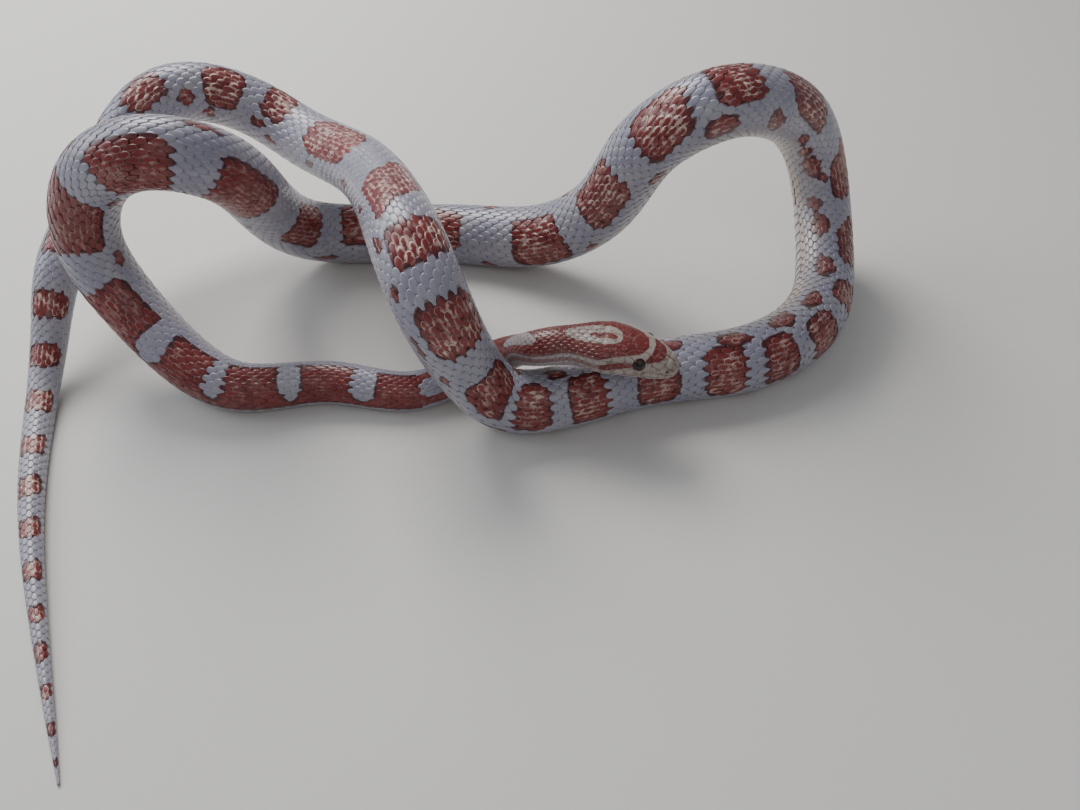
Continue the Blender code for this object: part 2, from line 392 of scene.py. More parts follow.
# %% Pitch, rows and the skin's depth
# Distances and pitches are in millimetres. A pair holds where a change begins and ends.
VENT = 1218.0
PITCH_START = 1.9
PITCH_PER_HALF_WIDTH = 0.27
NECK_SHRINK, NECK_GROWS = 0.76, (40, 130)
TAIL_STRETCH, TAIL_GROWS, TIP_SHRINKS = 1.02, (VENT, VENT + 30), (1400, 1340)
COAT_PER_PITCH = 0.085
COAT_BEGINS = (22, 30)
LEAST_DEPTH = 0.04
SCALED_ARC = 246.0
# Distance, and how many rows of scales lie across the back and sides there
ROWS = (
    (20, 25),
    (180, 25),
    (330, 27),
    (930, 27),
    (VENT, 21),
    (1262, 14),
    (1300, 11),
    (1350, 8),
    (1392, 6),
    (1416, 5),
)


def pitch(s):
    """Distance in millimetres from one scale to the next one behind it."""
    tail = 1 + (TAIL_STRETCH - 1) * smooth_step(*TAIL_GROWS, s) * smooth_step(*TIP_SHRINKS, s)
    neck = NECK_SHRINK + (1 - NECK_SHRINK) * smooth_step(*NECK_GROWS, s)
    return (PITCH_START + PITCH_PER_HALF_WIDTH * half_width(s)) * (tail * neck)


def coat_depth(s):
    """How far the skin lies inside the solids' shape."""
    return COAT_PER_PITCH * pitch(s) * smooth_step(*COAT_BEGINS, s) + LEAST_DEPTH


def row_step(s):
    """Angle between neighbouring rows."""
    return SCALED_ARC / table(ROWS, s)[0]


print(f"pitch at the neck {pitch(60.0):.2f} mm, at the widest part {pitch(480.0):.2f} mm")

# %% Count the scales out along the back
COUNT_STEP = 0.25
STRETCH_BLUR = 24
STRETCH_LIMITS = (0.8, 1.7)

steps = np.arange(0, LENGTH, COUNT_STEP)
between = steps[:-1] + COUNT_STEP / 2
stretch = hops(surface(steps, np.zeros(len(steps)))) / COUNT_STEP
window = np.hanning(2 * STRETCH_BLUR + 1)
stretch = np.convolve(np.pad(stretch, STRETCH_BLUR, "edge"), window / window.sum(), "valid")
BACK_STRETCH = np.clip(stretch, *STRETCH_LIMITS)
PHASES = running_sum(COUNT_STEP * BACK_STRETCH / pitch(between))


def stretch_at(s):
    """How much longer the back is than the middle of the body there, because of bends."""
    return np.interp(s, between, BACK_STRETCH)


def phase_at(s):
    """How many scales, one behind another, lie between the snout and a distance."""
    return np.interp(s, steps, PHASES)


def distance_at(phase):
    """The distance at which that many scales have been counted."""
    return np.interp(phase, PHASES, steps)


print(f"scales in one row down to the vent: {phase_at(VENT):.0f}")

# %% [markdown]
# ## Colours of the animal
#
# The ground is a pale lavender grey. Over it lie brick-red saddles with a jagged dark edge and a
# paler middle, smaller blotches low on the sides, a red spearhead on the crown between two pale
# stripes, and narrow rings on the tail. The belly is cream. One function answers, for any
# distance and angle, how much of each there is. The skin asks it at every corner. A corner of a
# scale asks halfway between its own place and the middle of its scale, so that the edge of a
# saddle steps from scale to scale, as in the animal, and still bends a little inside each.

# %% Where the saddles and blotches lie
# Each saddle: first and last distance on the back, its lowest angles to either side, how much
# longer it gets towards the sides (flare) and how far it slants towards the tail (slant), in mm
SADDLES = (
    (106, 121, -66, 50, 3.5, 0),
    (130, 149, -68, 50, 3.5, 0),
    (157, 175, -72, 50, 2.5, 0),
    (181, 198, -72, 50, 2.5, 0),
    (208, 232, -72, 50, 2.0, 0),
    (247, 273, -64, 58, 1.0, 0),
    (287, 307, -39, 73, 0.0, 0),
    (317, 345, -39, 83, 0.0, 0),
    (371, 395, -42, 48, 0.0, 0),
    (411, 433, -46, 46, 0.0, 0),
    (449, 467, -40, 44, 0.0, 0),
    (492, 516, -36, 68, 0.0, 0),
    (532, 562, -40, 50, 0.0, 0),
    (575, 592, -42, 50, 0.0, 0),
    (597, 611, -58, 44, 0.0, 0),
    (624, 650, -34, 46, -2.0, 2),
    (668, 694, -34, 46, -1.0, 5),
    (704, 728, -34, 50, -1.0, 6),
    (739, 751, -32, 54, 0.0, 3),
    (760, 773, -34, 54, 0.0, 1),
    (780, 792, -40, 56, 0.0, 0),
    (799, 813, -46, 56, 0.0, 0),
    (823, 840, -48, 50, 0.0, 0),
    (851, 864, -52, 50, 0.0, 0),
    (870, 882, -50, 48, 0.0, 0),
    (886, 906, -52, 46, 0.0, 0),
    (920, 935, -50, 58, 0.0, 0),
    (943, 954, -46, 58, 0.0, 1),
    (963, 993, -44, 58, 0.0, 7),
    (1022, 1061, -46, 46, -5.0, 1),
    (1080, 1096, -24, 62, 0.0, 1),
    (1106, 1122, -52, 44, -1.5, 0),
    (1134, 1150, -18, 54, 0.0, 1),
    (1164, 1177, -46, 48, 0.0, 0),
    (1189, 1200, -46, 50, 0.0, 0),
    (1208, 1218, -50, 60, 0.0, 0),
    (1230, 1240, -52, 62, 0.0, 0),
    (1250, 1260, -54, 62, 0.0, 0),
    (1270, 1280, -56, 62, 0.0, 0),
    (1291, 1300, -56, 62, 0.0, 0),
    (1310, 1319, -56, 62, 0.0, 0),
    (1328, 1336, -56, 64, 0.0, 0),
    (1345, 1352, -58, 64, 0.0, 0),
    (1361, 1367, -60, 66, 0.0, 0),
    (1374, 1380, -60, 66, 0.0, 0),
    (1387, 1392, -60, 66, 0.0, 0),
    (1399, 1403, -60, 66, 0.0, 0),
    (1409, 1411.5, -60, 66, 0.0, 0),
)
# Small blotches that show: distance, angle, half length along the body and half height, in mm
BLOTCHES = (
    (597, 68, 4.6, 4.0),
    (618, 71, 4.8, 4.4),
    (645, 68, 5, 2.6),
    (656, 76, 4, 2.6),
    (668, 73, 8, 4.0),
    (678, 58, 4, 1.6),
    (697, 84, 6, 3.2),
    (712, 80, 7, 3.6),
    (738, 76, 7, 4.2),
    (761, 74, 5, 3.6),
    (779, 79, 6.5, 3.8),
    (801, 69, 6.5, 3.8),
    (825, 74, 5.5, 3.6),
    (866, 64, 3.6, 2.8),
    (912, -66, 3, 1.8),
    (925, -72, 3, 2.0),
    (939, -62, 2.6, 1.8),
    (952, -60, 3, 1.6),
    (975, -64, 4, 1.6),
    (1012, -63, 6, 1.2),
    (1055, -65, 4, 1.6),
    (1082, -63, 4, 1.6),
    (1093, -44, 4, 1.8),
    (1119, -66, 3, 2.6),
    (1129, -33, 3.6, 3.4),
)
print(len(SADDLES), "saddles and rings,", len(BLOTCHES), "small blotches set by hand")

# %% A blotch on either side of every other gap
BLOTCHES_BEGIN = 230
BLOTCH_SEEN = 14.0
GUESSED_ANGLE, GUESSED_LENGTH, GUESSED_HEIGHT = 72.0, 4, 2.2
SWAY_ALONG, SWAY_ROUND, SWAY_RATE = 2, 6, 1.7


def guessed_blotches():
    """One on either side of every gap between saddles where none is listed."""
    found = []
    for one, other in zip(SADDLES, SADDLES[1:]):
        middle = (one[1] + other[0]) / 2
        if middle < BLOTCHES_BEGIN or middle > VENT:
            continue
        for side in (-1, 1):
            if any(abs(b[0] - middle) < BLOTCH_SEEN and b[1] * side > 0 for b in BLOTCHES):
                continue
            sway = math.sin(middle * SWAY_RATE + side)
            at = (middle + SWAY_ALONG * sway, side * (GUESSED_ANGLE + SWAY_ROUND * sway))
            found.append((*at, GUESSED_LENGTH + sway, GUESSED_HEIGHT))
    return found


ALL_BLOTCHES = [*BLOTCHES, *guessed_blotches()]
print(len(ALL_BLOTCHES), "small blotches in all")

# %% [markdown]
# ## How deep inside a mark a point lies
#
# Painting by hand would give one picture that fits one mesh. Here a mark is a formula instead: a
# saddle is a rounded box on the unrolled skin, a blotch an ellipse, and the answer is how many
# millimetres inside its outline a point lies. A slow wandering value shifts each outline, so
# that no two marks look alike. The edge, the pale net and the dark rim all come from this depth.

# %% A rounded box and a wandering value
FAR = 99.0


def box_depth(x, y, half_x, half_y, corner):
    """How far inside a rounded box a point is, in millimetres, negative outside."""
    qx = np.abs(x) - (half_x - corner)
    qy = np.abs(y) - (half_y - corner)
    outside = np.hypot(np.maximum(qx, 0), np.maximum(qy, 0))
    return corner - outside - np.minimum(np.maximum(qx, qy), 0)


def wander(s, angle, seed):
    """A smooth value between -1 and 1 that wanders over the body, from three crossing waves."""
    t = np.radians(angle)
    return (
        np.sin(0.61 * s + 2.1 * np.sin(2 * t + seed) + seed)
        + np.sin(0.23 * s + 3.3 * t * np.sign(np.cos(t)) + 2.7 * seed)
        + np.sin(1.13 * s + 5 * np.cos(t + seed))
    ) / 3


print("depth in the middle of a box:", float(box_depth(0.0, 0.0, 9.0, 6.0, 2.0)), "mm")

# %% How deep inside a saddle or a blotch a point lies
# How near, in mm ahead of a mark and behind it, a point is measured against it
SADDLE_REACH, BLOTCH_REACH = (14, 18), 6
SADDLE_SIDE, SIDE_LIMIT = 45, 1.4
SADDLE_CORNER, LARGEST_CORNER = 0.62, 5.0
SADDLE_WANDER = 0.5
BLOTCH_WANDER, BLOTCH_SEED = 0.75, 4


def saddle_depth(s, angle):
    """How far inside the nearest saddle, in millimetres."""
    per_degree = half_width(s) * math.pi / 180
    best = np.full(s.shape, -FAR)
    for first, last, left, right, flare, slant in SADDLES:
        near = (s > first - SADDLE_REACH[0]) & (s < last + SADDLE_REACH[1])
        side = np.clip(angle[near] / SADDLE_SIDE, -SIDE_LIMIT, SIDE_LIMIT)
        ragged = SADDLE_WANDER * wander(s[near], angle[near], first)
        x = s[near] - (first + last) / 2 - slant * side - ragged
        y = (angle[near] - (left + right) / 2) * per_degree[near]
        half_x = (last - first) / 2 + flare * side**4
        half_y = (right - left) / 2 * per_degree[near]
        corner = np.minimum(np.minimum(half_x, half_y) * SADDLE_CORNER, LARGEST_CORNER)
        best[near] = np.maximum(best[near], box_depth(x, y, half_x, half_y, corner))
    return best


def blotch_depth(s, angle):
    """How far inside the nearest small blotch, in millimetres."""
    per_degree = half_width(s) * math.pi / 180
    best = np.full(s.shape, -FAR)
    for middle, middle_angle, half_x, half_y in ALL_BLOTCHES:
        near = np.abs(s - middle) < half_x + BLOTCH_REACH
        x = s[near] - middle
        y = (angle[near] - middle_angle) * per_degree[near]
        reach = np.sqrt((x / half_x) ** 2 + (y / half_y) ** 2)
        best[near] = np.maximum(best[near], (1 - reach) * half_y)
    return best + BLOTCH_WANDER * wander(s, angle, BLOTCH_SEED)


print("depth in a saddle:", np.round(saddle_depth(np.array([895.0]), np.array([0.0])), 1), "mm")

# %% [markdown]
# ## The marks of the head
#
# The crown bears the pattern by which a corn snake is known: a red spearhead that runs on over
# the neck, with a pale oval in it, a red band over the snout and a red stripe behind the eye.
# Tables hold how wide each is from place to place, which is easier to set right than a formula.

# %% Where the marks of the head lie
# A pair named _FADE, _STARTS or _ENDS holds the values between which a mark comes or goes.
# The crown's marks are turned a little about the head; angles here count from their own middle.
CROWN_TURN = 7.0
# Distance, and half the spearhead's width in degrees
SPEARHEAD = (
    (11.2, 0),
    (12.5, 24),
    (15, 37),
    (20, 50),
    (25, 63),
    (27, 70),
    (33, 72),
    (40, 70),
    (50, 72),
    (64, 70),
    (96, 60),
    (107, 50),
)
SPEARHEAD_FADE, SPEARHEAD_STARTS = (-2.0, 2.0), (10.8, 11.6)
# Angle, and the first and last distance of the band over the snout
SNOUT_BAND = ((0, 5.3, 9.6), (15, 5.6, 9.7), (30, 6.5, 10.3), (45, 8.6, 11.0), (52, 9.8, 10.4))
BAND_FADE, BAND_ENDS = (-0.3, 0.4), (52, 46)
# Distance, and the upper and lower angle of the stripe behind the eye
EYE_STRIPE = (
    (14.0, 65, 72),
    (16, 64, 79),
    (19, 67, 85),
    (22, 72, 90),
    (25, 80, 94),
    (28, 85, 94),
    (36, 83, 93),
    (46, 81, 95),
    (66, 80, 96),
)
STRIPE_FADE, STRIPE_STARTS, STRIPE_ENDS = (-1.5, 1.5), (13.5, 14.5), (66, 58)
# First and last distance, half angle and middle angle of each oval
CROWN_OVAL = (20.0, 38.5, 22.0, 0.0)
CROWN_CORE = (21.5, 30.5, 6.5, 0.0)
NECK_OVALS = ((46.0, 64.0, 27.0, -17.0), (72.0, 86.0, 26.0, 0.0), (95.0, 107.0, 28.0, 0.0))
OVAL_POWER = 2.6
OVAL_FADE, CORE_FADE = (-0.06, 0.06), (-0.15, 0.15)
FACE_ENDS = (84, 26)
print(len(NECK_OVALS) + 1, "pale ovals on the crown and neck")


# %% Draw the marks of the head
def oval_depth(s, angle, first, last, half_angle, middle_angle):
    """Positive inside an oval on the back, about 1 in its middle."""
    along = (s - (first + last) / 2) / ((last - first) / 2)
    across = (angle - middle_angle) / half_angle
    return 1 - np.sqrt(np.abs(along) ** OVAL_POWER + np.abs(across) ** OVAL_POWER)


def head_marks(s, angle):
    """Red, and the pale face, on the head and the first part of the neck."""
    turned = angle + CROWN_TURN * np.clip(1 - np.abs(angle) / 90, 0, 1)
    a = np.abs(turned)
    edge = table(SPEARHEAD, s)[0]
    red = smooth_step(*SPEARHEAD_FADE, edge - a) * smooth_step(*SPEARHEAD_STARTS, s)
    first, last = table(SNOUT_BAND, a)
    band = smooth_step(*BAND_FADE, s - first) * smooth_step(*BAND_FADE, last - s)
    band *= smooth_step(*BAND_ENDS, a)
    top, bottom = table(EYE_STRIPE, s)
    stripe = smooth_step(*STRIPE_FADE, a - top) * smooth_step(*STRIPE_FADE, bottom - a)
    stripe *= smooth_step(*STRIPE_STARTS, s) * smooth_step(*STRIPE_ENDS, s)
    oval = smooth_step(*OVAL_FADE, oval_depth(s, turned, *CROWN_OVAL))
    core = smooth_step(*CORE_FADE, oval_depth(s, turned, *CROWN_CORE))
    for row in NECK_OVALS:
        oval = np.maximum(oval, smooth_step(*OVAL_FADE, oval_depth(s, angle, *row)))
    red = np.maximum.reduce([red * (1 - oval * (1 - core)), band, stripe])
    return red, smooth_step(*FACE_ENDS, s)


crown = head_marks(np.array([22.0, 34.0]), np.array([40.0, 0.0]))[0]
print("red on the spearhead and in the pale oval:", np.round(crown, 2))

# %% [markdown]
# ## All marks together
#
# What is left is how strong the pale net is along the body, and where the cream of the belly
# begins and tinges the sides. Then one function puts the amounts together, with the marks of
# the head in front and the saddles behind.

# %% How strong the net and the belly's cream are
EDGE_SPAN = 4.0
# Distance, and how strong the pale net inside the saddles is
NET_STRENGTH = (
    (107, 0.16),
    (240, 0.35),
    (345, 0.45),
    (400, 0.5),
    (560, 0.95),
    (620, 0.95),
    (690, 0.6),
    (900, 0.75),
    (940, 1.0),
    (1100, 1.0),
    (1220, 1.7),
    (1416, 1.7),
)
NET_FADE, NET_LEVEL, NET_VARIES, NET_SEED = (0.9, 2.6), 0.85, 0.5, 2
TAIL_NET_FADE, TAIL_NET_STARTS = (0.3, 1.3), (1190, 1240)
BLOTCH_NET, BLOTCH_NET_FADE = 0.7, (0.6, 1.8)
# Distance, and the angle at which the belly begins
BELLY_EDGE = ((0, 106), (30, 106), (60, 100), (200, 100), (1416, 98))
BELLY_FADE = (-7, 9)
NECK_SIDE, NECK_SIDE_FADE, NECK_SIDE_STARTS, NECK_SIDE_ENDS = 0.3, (62, 74), 26, (230, 190)
BODY_SIDE, BODY_SIDE_FADE, BODY_SIDE_STARTS = 0.4, (60, 98), 150


def net_amount(s, angle, spot, blotch):
    """The pale net, from how deep a point lies in a saddle and in a blotch."""
    patchy = np.clip(NET_LEVEL + NET_VARIES * wander(s, angle, NET_SEED), 0, 1)
    net = smooth_step(*NET_FADE, spot) * patchy
    net = np.maximum(net, smooth_step(*TAIL_NET_FADE, spot) * smooth_step(*TAIL_NET_STARTS, s))
    net = np.maximum(net, BLOTCH_NET * smooth_step(*BLOTCH_NET_FADE, blotch))
    return net * table(NET_STRENGTH, s)[0]


def belly_amounts(s, angle):
    """The cream of the belly itself, and its tinge on the sides above it."""
    low = np.abs(angle)
    belly = smooth_step(*BELLY_FADE, low - table(BELLY_EDGE, s)[0])
    neck = NECK_SIDE * smooth_step(*NECK_SIDE_FADE, low) * smooth_step(*NECK_SIDE_ENDS, s)
    body = BODY_SIDE * smooth_step(*BODY_SIDE_FADE, low) * (s > BODY_SIDE_STARTS)
    return belly, np.maximum(neck * (s > NECK_SIDE_STARTS), body)


print("net in the middle of the body:", np.round(table(NET_STRENGTH, 700)[0], 2))

# %% The function that colours everything
MARKS = ("saddle", "rim", "fleck", "belly", "face")
HEAD_MARKS_END = (107.5, 106.5)
HEAD_RIM = 0.5
HEAD_FLECK = 0.12


def marks(s, angle):
    """How far inside the red, dark edge, pale net, cream belly and pale face, each from 0 to 1.

    The first passes 0.5 on the outline of a red mark and grows over EDGE_SPAN millimetres.
    """
    angle = (angle + 180) % 360 - 180
    spot, blotch = saddle_depth(s, angle), blotch_depth(s, angle)
    saddle = np.clip(0.5 + np.maximum(spot, blotch) / EDGE_SPAN, 0, 1)
    red, face = head_marks(s, angle)
    front = smooth_step(*HEAD_MARKS_END, s)
    saddle = saddle * (1 - front) + red * front
    rim = 1 - HEAD_RIM * front
    fleck = net_amount(s, angle, spot, blotch) * (1 - front) + front * HEAD_FLECK * red
    belly, side = belly_amounts(s, angle)
    return saddle * (1 - belly), rim * (1 - belly), fleck, np.maximum(belly, side), face


sample = marks(np.array([890.0, 912.0, 850.0]), np.array([0.0, 0.0, 180.0]))
for name, values in zip(MARKS, sample):
    print(name, "in a saddle, in a gap and on the belly:", np.round(values, 2))

# %% [markdown]
# ## The relief of the head
#
# The crown and the lips of a snake carry large smooth plates that meet edge to edge. Each plate
# below is a short line, and a point belongs to the plate whose line is nearest. Where two plates
# are equally near, a fine groove runs. The mouth is a deeper groove between two soft lips, the
# nostril a pit between the two nasal plates, and round the eye the skin dips under the ball and
# rises in a thin ring.

# %% The plates of the head
# Each plate of one side: distance and angle of its line's two ends, and how far it pushes (mm)
PLATES = {
    "rostral": (0.3, 0, 0.3, 88, 0.6),
    "internasal": (2.7, 12, 2.9, 34, 0.0),
    "prenasal": (2.3, 64, 2.2, 78, 0.0),
    "postnasal": (4.2, 62, 4.2, 78, 0.0),
    "prefrontal": (6.2, 10, 6.4, 46, 0.7),
    "loreal": (6.6, 72, 7.8, 72, 0.0),
    "preocular": (9.6, 60, 9.6, 78, 0.0),
    "frontal": (10.4, 0, 15.0, 0, 1.6),
    "supraocular": (10.4, 37, 15.4, 35, 0.5),
    "postocular_upper": (16.4, 58, 16.4, 62, 0.0),
    "postocular_lower": (16.3, 76, 16.3, 78, 0.0),
    "parietal": (17.8, 12, 24.0, 14, 1.7),
    "temporal_front_upper": (19.0, 58, 20.4, 58, 0.3),
    "temporal_front_lower": (18.8, 76, 20.4, 76, 0.0),
    "temporal_back_upper": (23.4, 46, 24.6, 46, 0.3),
    "temporal_back_middle": (23.2, 62, 24.6, 62, 0.0),
    "temporal_back_lower": (23.2, 77, 24.6, 77, 0.0),
    "mental": (0.4, 112, 0.4, 180, 0.4),
    "chin_front": (4.4, 160, 7.6, 160, 0.9),
    "chin_back": (10.0, 160, 13.4, 158, 0.9),
}
UPPER_LIPS = (2.1, 4.4, 6.7, 9.2, 12.0, 15.2, 18.8, 22.8)
LOWER_LIPS = (2.2, 4.2, 6.2, 8.4, 10.8, 13.6, 16.8, 20.2, 23.6)
UPPER_LIP_ANGLE, LOWER_LIP_ANGLES = 95, (114, 122)

one_side = list(PLATES.values())
one_side += [(s, UPPER_LIP_ANGLE, s, UPPER_LIP_ANGLE, 0.0) for s in UPPER_LIPS]
one_side += [(s, LOWER_LIP_ANGLES[0], s, LOWER_LIP_ANGLES[1], 0.0) for s in LOWER_LIPS]
other_side = [(s0, -a0, s1, -a1, push) for s0, a0, s1, a1, push in one_side]
print(len(one_side), "plates on one side of the head")

# %% How far a point is from the seam between two plates
# Angle, and the distance at which the plates give way to scales
PLATES_END = ((0, 25.6), (60, 25.8), (90, 26.5), (106, 26.5), (120, 20), (130, 15.5), (180, 15.0))
PLATES_FADE = 1.0


def mean_radius(s):
    width, height, depth = table(HEAD_PROFILE, s)
    return (width + (height + depth) / 2) / 2


def plate_gap(s, angle):
    """Distance from the nearest seam in millimetres, and 1 where there are plates at all."""
    per_degree = mean_radius(s) * math.pi / 180
    nearest = np.full(s.shape, FAR)
    second = nearest
    for index, (s0, a0, s1, a1, push) in enumerate(one_side + other_side):
        mirrored = index >= len(one_side)
        if mirrored and a0 == a1 == 0:
            continue
        x0, x1 = s - s0, s1 - s0
        y0 = ((angle - a0 + 180) % 360 - 180) * per_degree
        y1 = (a1 - a0) * per_degree
        along = np.clip((x0 * x1 + y0 * y1) / (x1 * x1 + y1 * y1 + 1e-9), 0, 1)
        d = np.hypot(x0 - along * x1, y0 - along * y1) - push
        same_plate_again = mirrored and a0 == 0
        if not same_plate_again:
            second = np.minimum(second, np.maximum(nearest, d))
        nearest = np.minimum(nearest, d)
    ends = table(PLATES_END, np.abs(angle))[0]
    return np.where(s < ends, (second - nearest) / 2, 0.0), smooth_step(0.0, PLATES_FADE, ends - s)


seam = plate_gap(np.array([12.0, 16.4]), np.array([0.0, 0.0]))[0]
print("distance from a seam on the crown:", np.round(seam, 2), "mm")

# %% The height of the relief
PLATE_DOME, DOME_SPAN = 0.14, 0.5
GROOVE_DEPTH, GROOVE_WIDTH = 0.1, 0.19
SEAM_FADE = (0.3, 0.04)
MOUTH_ANGLE, MOUTH_DEPTH, MOUTH_WIDTH = 103.0, 0.6, 0.2
MOUTH_STARTS, MOUTH_ENDS = (0.3, 1.4), (27.0, 24.0)
LIP_SWELL, LIP_MIDDLE, LIP_WIDTH = 0.16, 0.8, 0.6
NOSTRIL = (2.9, 71.5)
PIT_DEPTH, PIT_WIDTH = 0.9, 0.5
PIT_RIM, RIM_MIDDLE, RIM_WIDTH = 0.1, 0.9, 0.3


def bell(x, width):
    """1 at nought and falling softly to either side."""
    return np.exp(-((x / width) ** 2))


def head_relief(s, angle):
    """Height over the plain outline in mm, how smooth and pale, and how dark a point is."""
    gap, on_plates = plate_gap(s, angle)
    per_degree = mean_radius(s) * math.pi / 180
    dome = PLATE_DOME * (1 - np.exp(-gap / DOME_SPAN))
    height = on_plates * (dome - GROOVE_DEPTH * bell(gap, GROOVE_WIDTH))
    from_mouth = (np.abs(angle) - MOUTH_ANGLE) * per_degree
    along_mouth = smooth_step(*MOUTH_STARTS, s) * smooth_step(*MOUTH_ENDS, s)
    slit = bell(from_mouth, MOUTH_WIDTH)
    lips = LIP_SWELL * bell(np.abs(from_mouth) - LIP_MIDDLE, LIP_WIDTH)
    height += along_mouth * (lips - MOUTH_DEPTH * slit)
    from_nostril = np.hypot(s - NOSTRIL[0], (np.abs(angle) - NOSTRIL[1]) * per_degree)
    pit = bell(from_nostril, PIT_WIDTH)
    height += PIT_RIM * bell(from_nostril - RIM_MIDDLE, RIM_WIDTH) - PIT_DEPTH * pit
    seam = on_plates * smooth_step(*SEAM_FADE, gap)
    # `middle` is low in the grooves between plates and in the mouth slit and nostril pit, which
    # take the darker seam colour; the last value darkens mouth and nostril further. In mouth and
    # nostril both are painted shade.
    middle = (1 - seam) * (1 - slit * along_mouth) * (1 - pit)
    return height, middle, np.maximum(slit * along_mouth, pit)


depths = head_relief(np.array([12.0]), np.array([MOUTH_ANGLE]))[0]
print("relief in the line of the mouth:", np.round(depths, 2), "mm")

# %% The seats of the eyes
EYE_BEHIND_SNOUT, EYE_OUT, EYE_UP = 12.8, 6.05, 2.3
GAZE_UP, GAZE_BACK = 0.38, -0.14
EYE_RADIUS, EYE_OPENING = 2.6, 1.85
DIP_FADE, DIP_UNDER_BALL = (0.35, -0.1), 0.3
RING_HEIGHT, RING_OUT, RING_WIDTH = 0.22, 0.55, 0.28
SEAT_HEIGHT, SEAT_RADIUS = 9, 5


def eye_frame(side_sign):
    """Centre of the eye in millimetres and the way it looks."""
    middle, tangent, back, side = (v[0] for v in body_frame(np.array([EYE_BEHIND_SNOUT])))
    centre = middle + side * side_sign * EYE_OUT + back * EYE_UP
    return centre, unit(side * side_sign + GAZE_UP * back + GAZE_BACK * tangent)


def dip_round_eyes(points):
    """Skin points pressed under each eyeball, with a thin raised ring round it."""
    for side_sign in (-1, 1):
        centre, gaze = eye_frame(side_sign)
        from_centre = points - centre
        height = from_centre @ gaze
        off_axis = np.linalg.norm(from_centre - height[:, None] * gaze, axis=1)
        near = (height > 0) & (height < SEAT_HEIGHT) & (off_axis < SEAT_RADIUS)
        ball = np.sqrt(np.maximum(EYE_RADIUS**2 - off_axis**2, 0))
        past_opening = off_axis - EYE_OPENING
        under = smooth_step(*DIP_FADE, past_opening) * near
        ring = RING_HEIGHT * bell(past_opening - RING_OUT, RING_WIDTH) * near
        move = under * np.minimum(ball - DIP_UNDER_BALL - height, 0) + ring * (1 - under)
        points = points + move[:, None] * gaze
    return points


print("right eye at", np.round(eye_frame(1)[0], 1), "mm")

# %% [markdown]
# ## One skin
#
# The skin is a stack of rings that follows the route, closed at the snout and at the tail's tip.
# Rings stand close together on the head, where the relief is fine, and wider apart on the body,
# which the scales cover. Where the number of corners halves, a row of triangles joins the two
# rings, so the skin stays one closed mesh without a seam. An unwrap in six strips, the head in
# one of its own, gives every place its spot on a flat sheet.

# %% Spots on the flat sheet
STRIPS = 6
HEAD_STRIP_END = 42.0
SHEET_EDGE, STRIP_EDGE = 0.01, 0.03


def strip_of(s):
    """Which strip of the unwrap a distance belongs to, and where that strip starts and ends."""
    step = (LENGTH - HEAD_STRIP_END) / (STRIPS - 1)
    index = np.where(s < HEAD_STRIP_END, 0, 1 + np.floor((s - HEAD_STRIP_END) / step))
    index = np.clip(index, 0, STRIPS - 1)
    start = np.where(index == 0, 0, HEAD_STRIP_END + (index - 1) * step)
    end = np.where(index == 0, HEAD_STRIP_END, start + step)
    return index, start, end


def unwrap(s, angle, chooser=None):
    """Place on the flat sheet. The strip is that of `s`, or of other distances if given."""
    index, start, end = strip_of(s if chooser is None else chooser)
    u = SHEET_EDGE + (1 - 2 * SHEET_EDGE) * (s - start) / (end - start)
    v = (index + STRIP_EDGE + (1 - 2 * STRIP_EDGE) * (angle + 180) / 360) / STRIPS
    return np.stack([u, v], -1)


print("the vent lies on strip", int(strip_of(VENT)[0]))

# %% The rings of the skin
HEAD_SIDES, NECK_SIDES, BODY_SIDES = 256, 128, 64
SNOUT_RINGS, TIP_RINGS = (0.0, 0.1, 0.25, 0.45, 0.7), (1.2, 0.5, 0.2)
HEAD_RINGS = (0.95, 36.0, 0.25)
NECK_RINGS = (36.3, 44.0, 0.6)
BODY_RINGS = (45.2, LENGTH - 2, 2.3)
RELIEF_ENDS = (30, 26)
FLOOR_SKIN = 0.25


def turn_of(corner, sides):
    """Angle of a ring's corner, counted round from the middle of the belly."""
    return -180 + 360 * corner / sides


rings = [(s, HEAD_SIDES) for s in (*SNOUT_RINGS, *np.arange(*HEAD_RINGS))]
rings += [(s, NECK_SIDES) for s in np.arange(*NECK_RINGS)]
rings += [(s, BODY_SIDES) for s in np.arange(*BODY_RINGS)]
rings += [(LENGTH - before, BODY_SIDES) for before in TIP_RINGS]

ring_s = np.concatenate([np.full(sides, s) for s, sides in rings])
ring_angle = np.concatenate([turn_of(np.arange(sides), sides) for _, sides in rings])
height, plate_middle, mouth_and_nostril_shade = head_relief(ring_s, ring_angle)
height = height * smooth_step(*RELIEF_ENDS, ring_s) - coat_depth(ring_s)
points = surface(ring_s, ring_angle) + outward(ring_s, ring_angle) * height[:, None]
points = dip_round_eyes(points)
points[:, 2] = np.maximum(points[:, 2], FLOOR_SKIN)
print(len(rings), "rings with", len(points), "points")

# %% Join the rings with faces
TIP_LENGTH = 0.3
firsts = np.cumsum([0] + [sides for _, sides in rings])
faces, face_places = [], []


def add_face(*corners):
    """One face. Each corner is given as its point's number, its distance and its angle."""
    faces.append([point for point, _, _ in corners])
    face_places.append([(s, angle) for _, s, angle in corners])


for (s0, n0), (s1, n1), f0, f1 in zip(rings, rings[1:], firsts, firsts[1:]):
    fine = n0 // n1
    for k in range(0, n0, fine):
        low = [(f0 + (k + j) % n0, s0, turn_of(k + j, n0)) for j in range(fine + 1)]
        high = [(f1 + (k // fine + j) % n1, s1, turn_of(k // fine + j, n1)) for j in (0, 1)]
        if fine == 1:
            add_face(low[0], low[1], high[1], high[0])
        else:
            add_face(low[0], low[1], high[0])
            add_face(low[1], high[1], high[0])
            add_face(low[1], low[2], high[1])

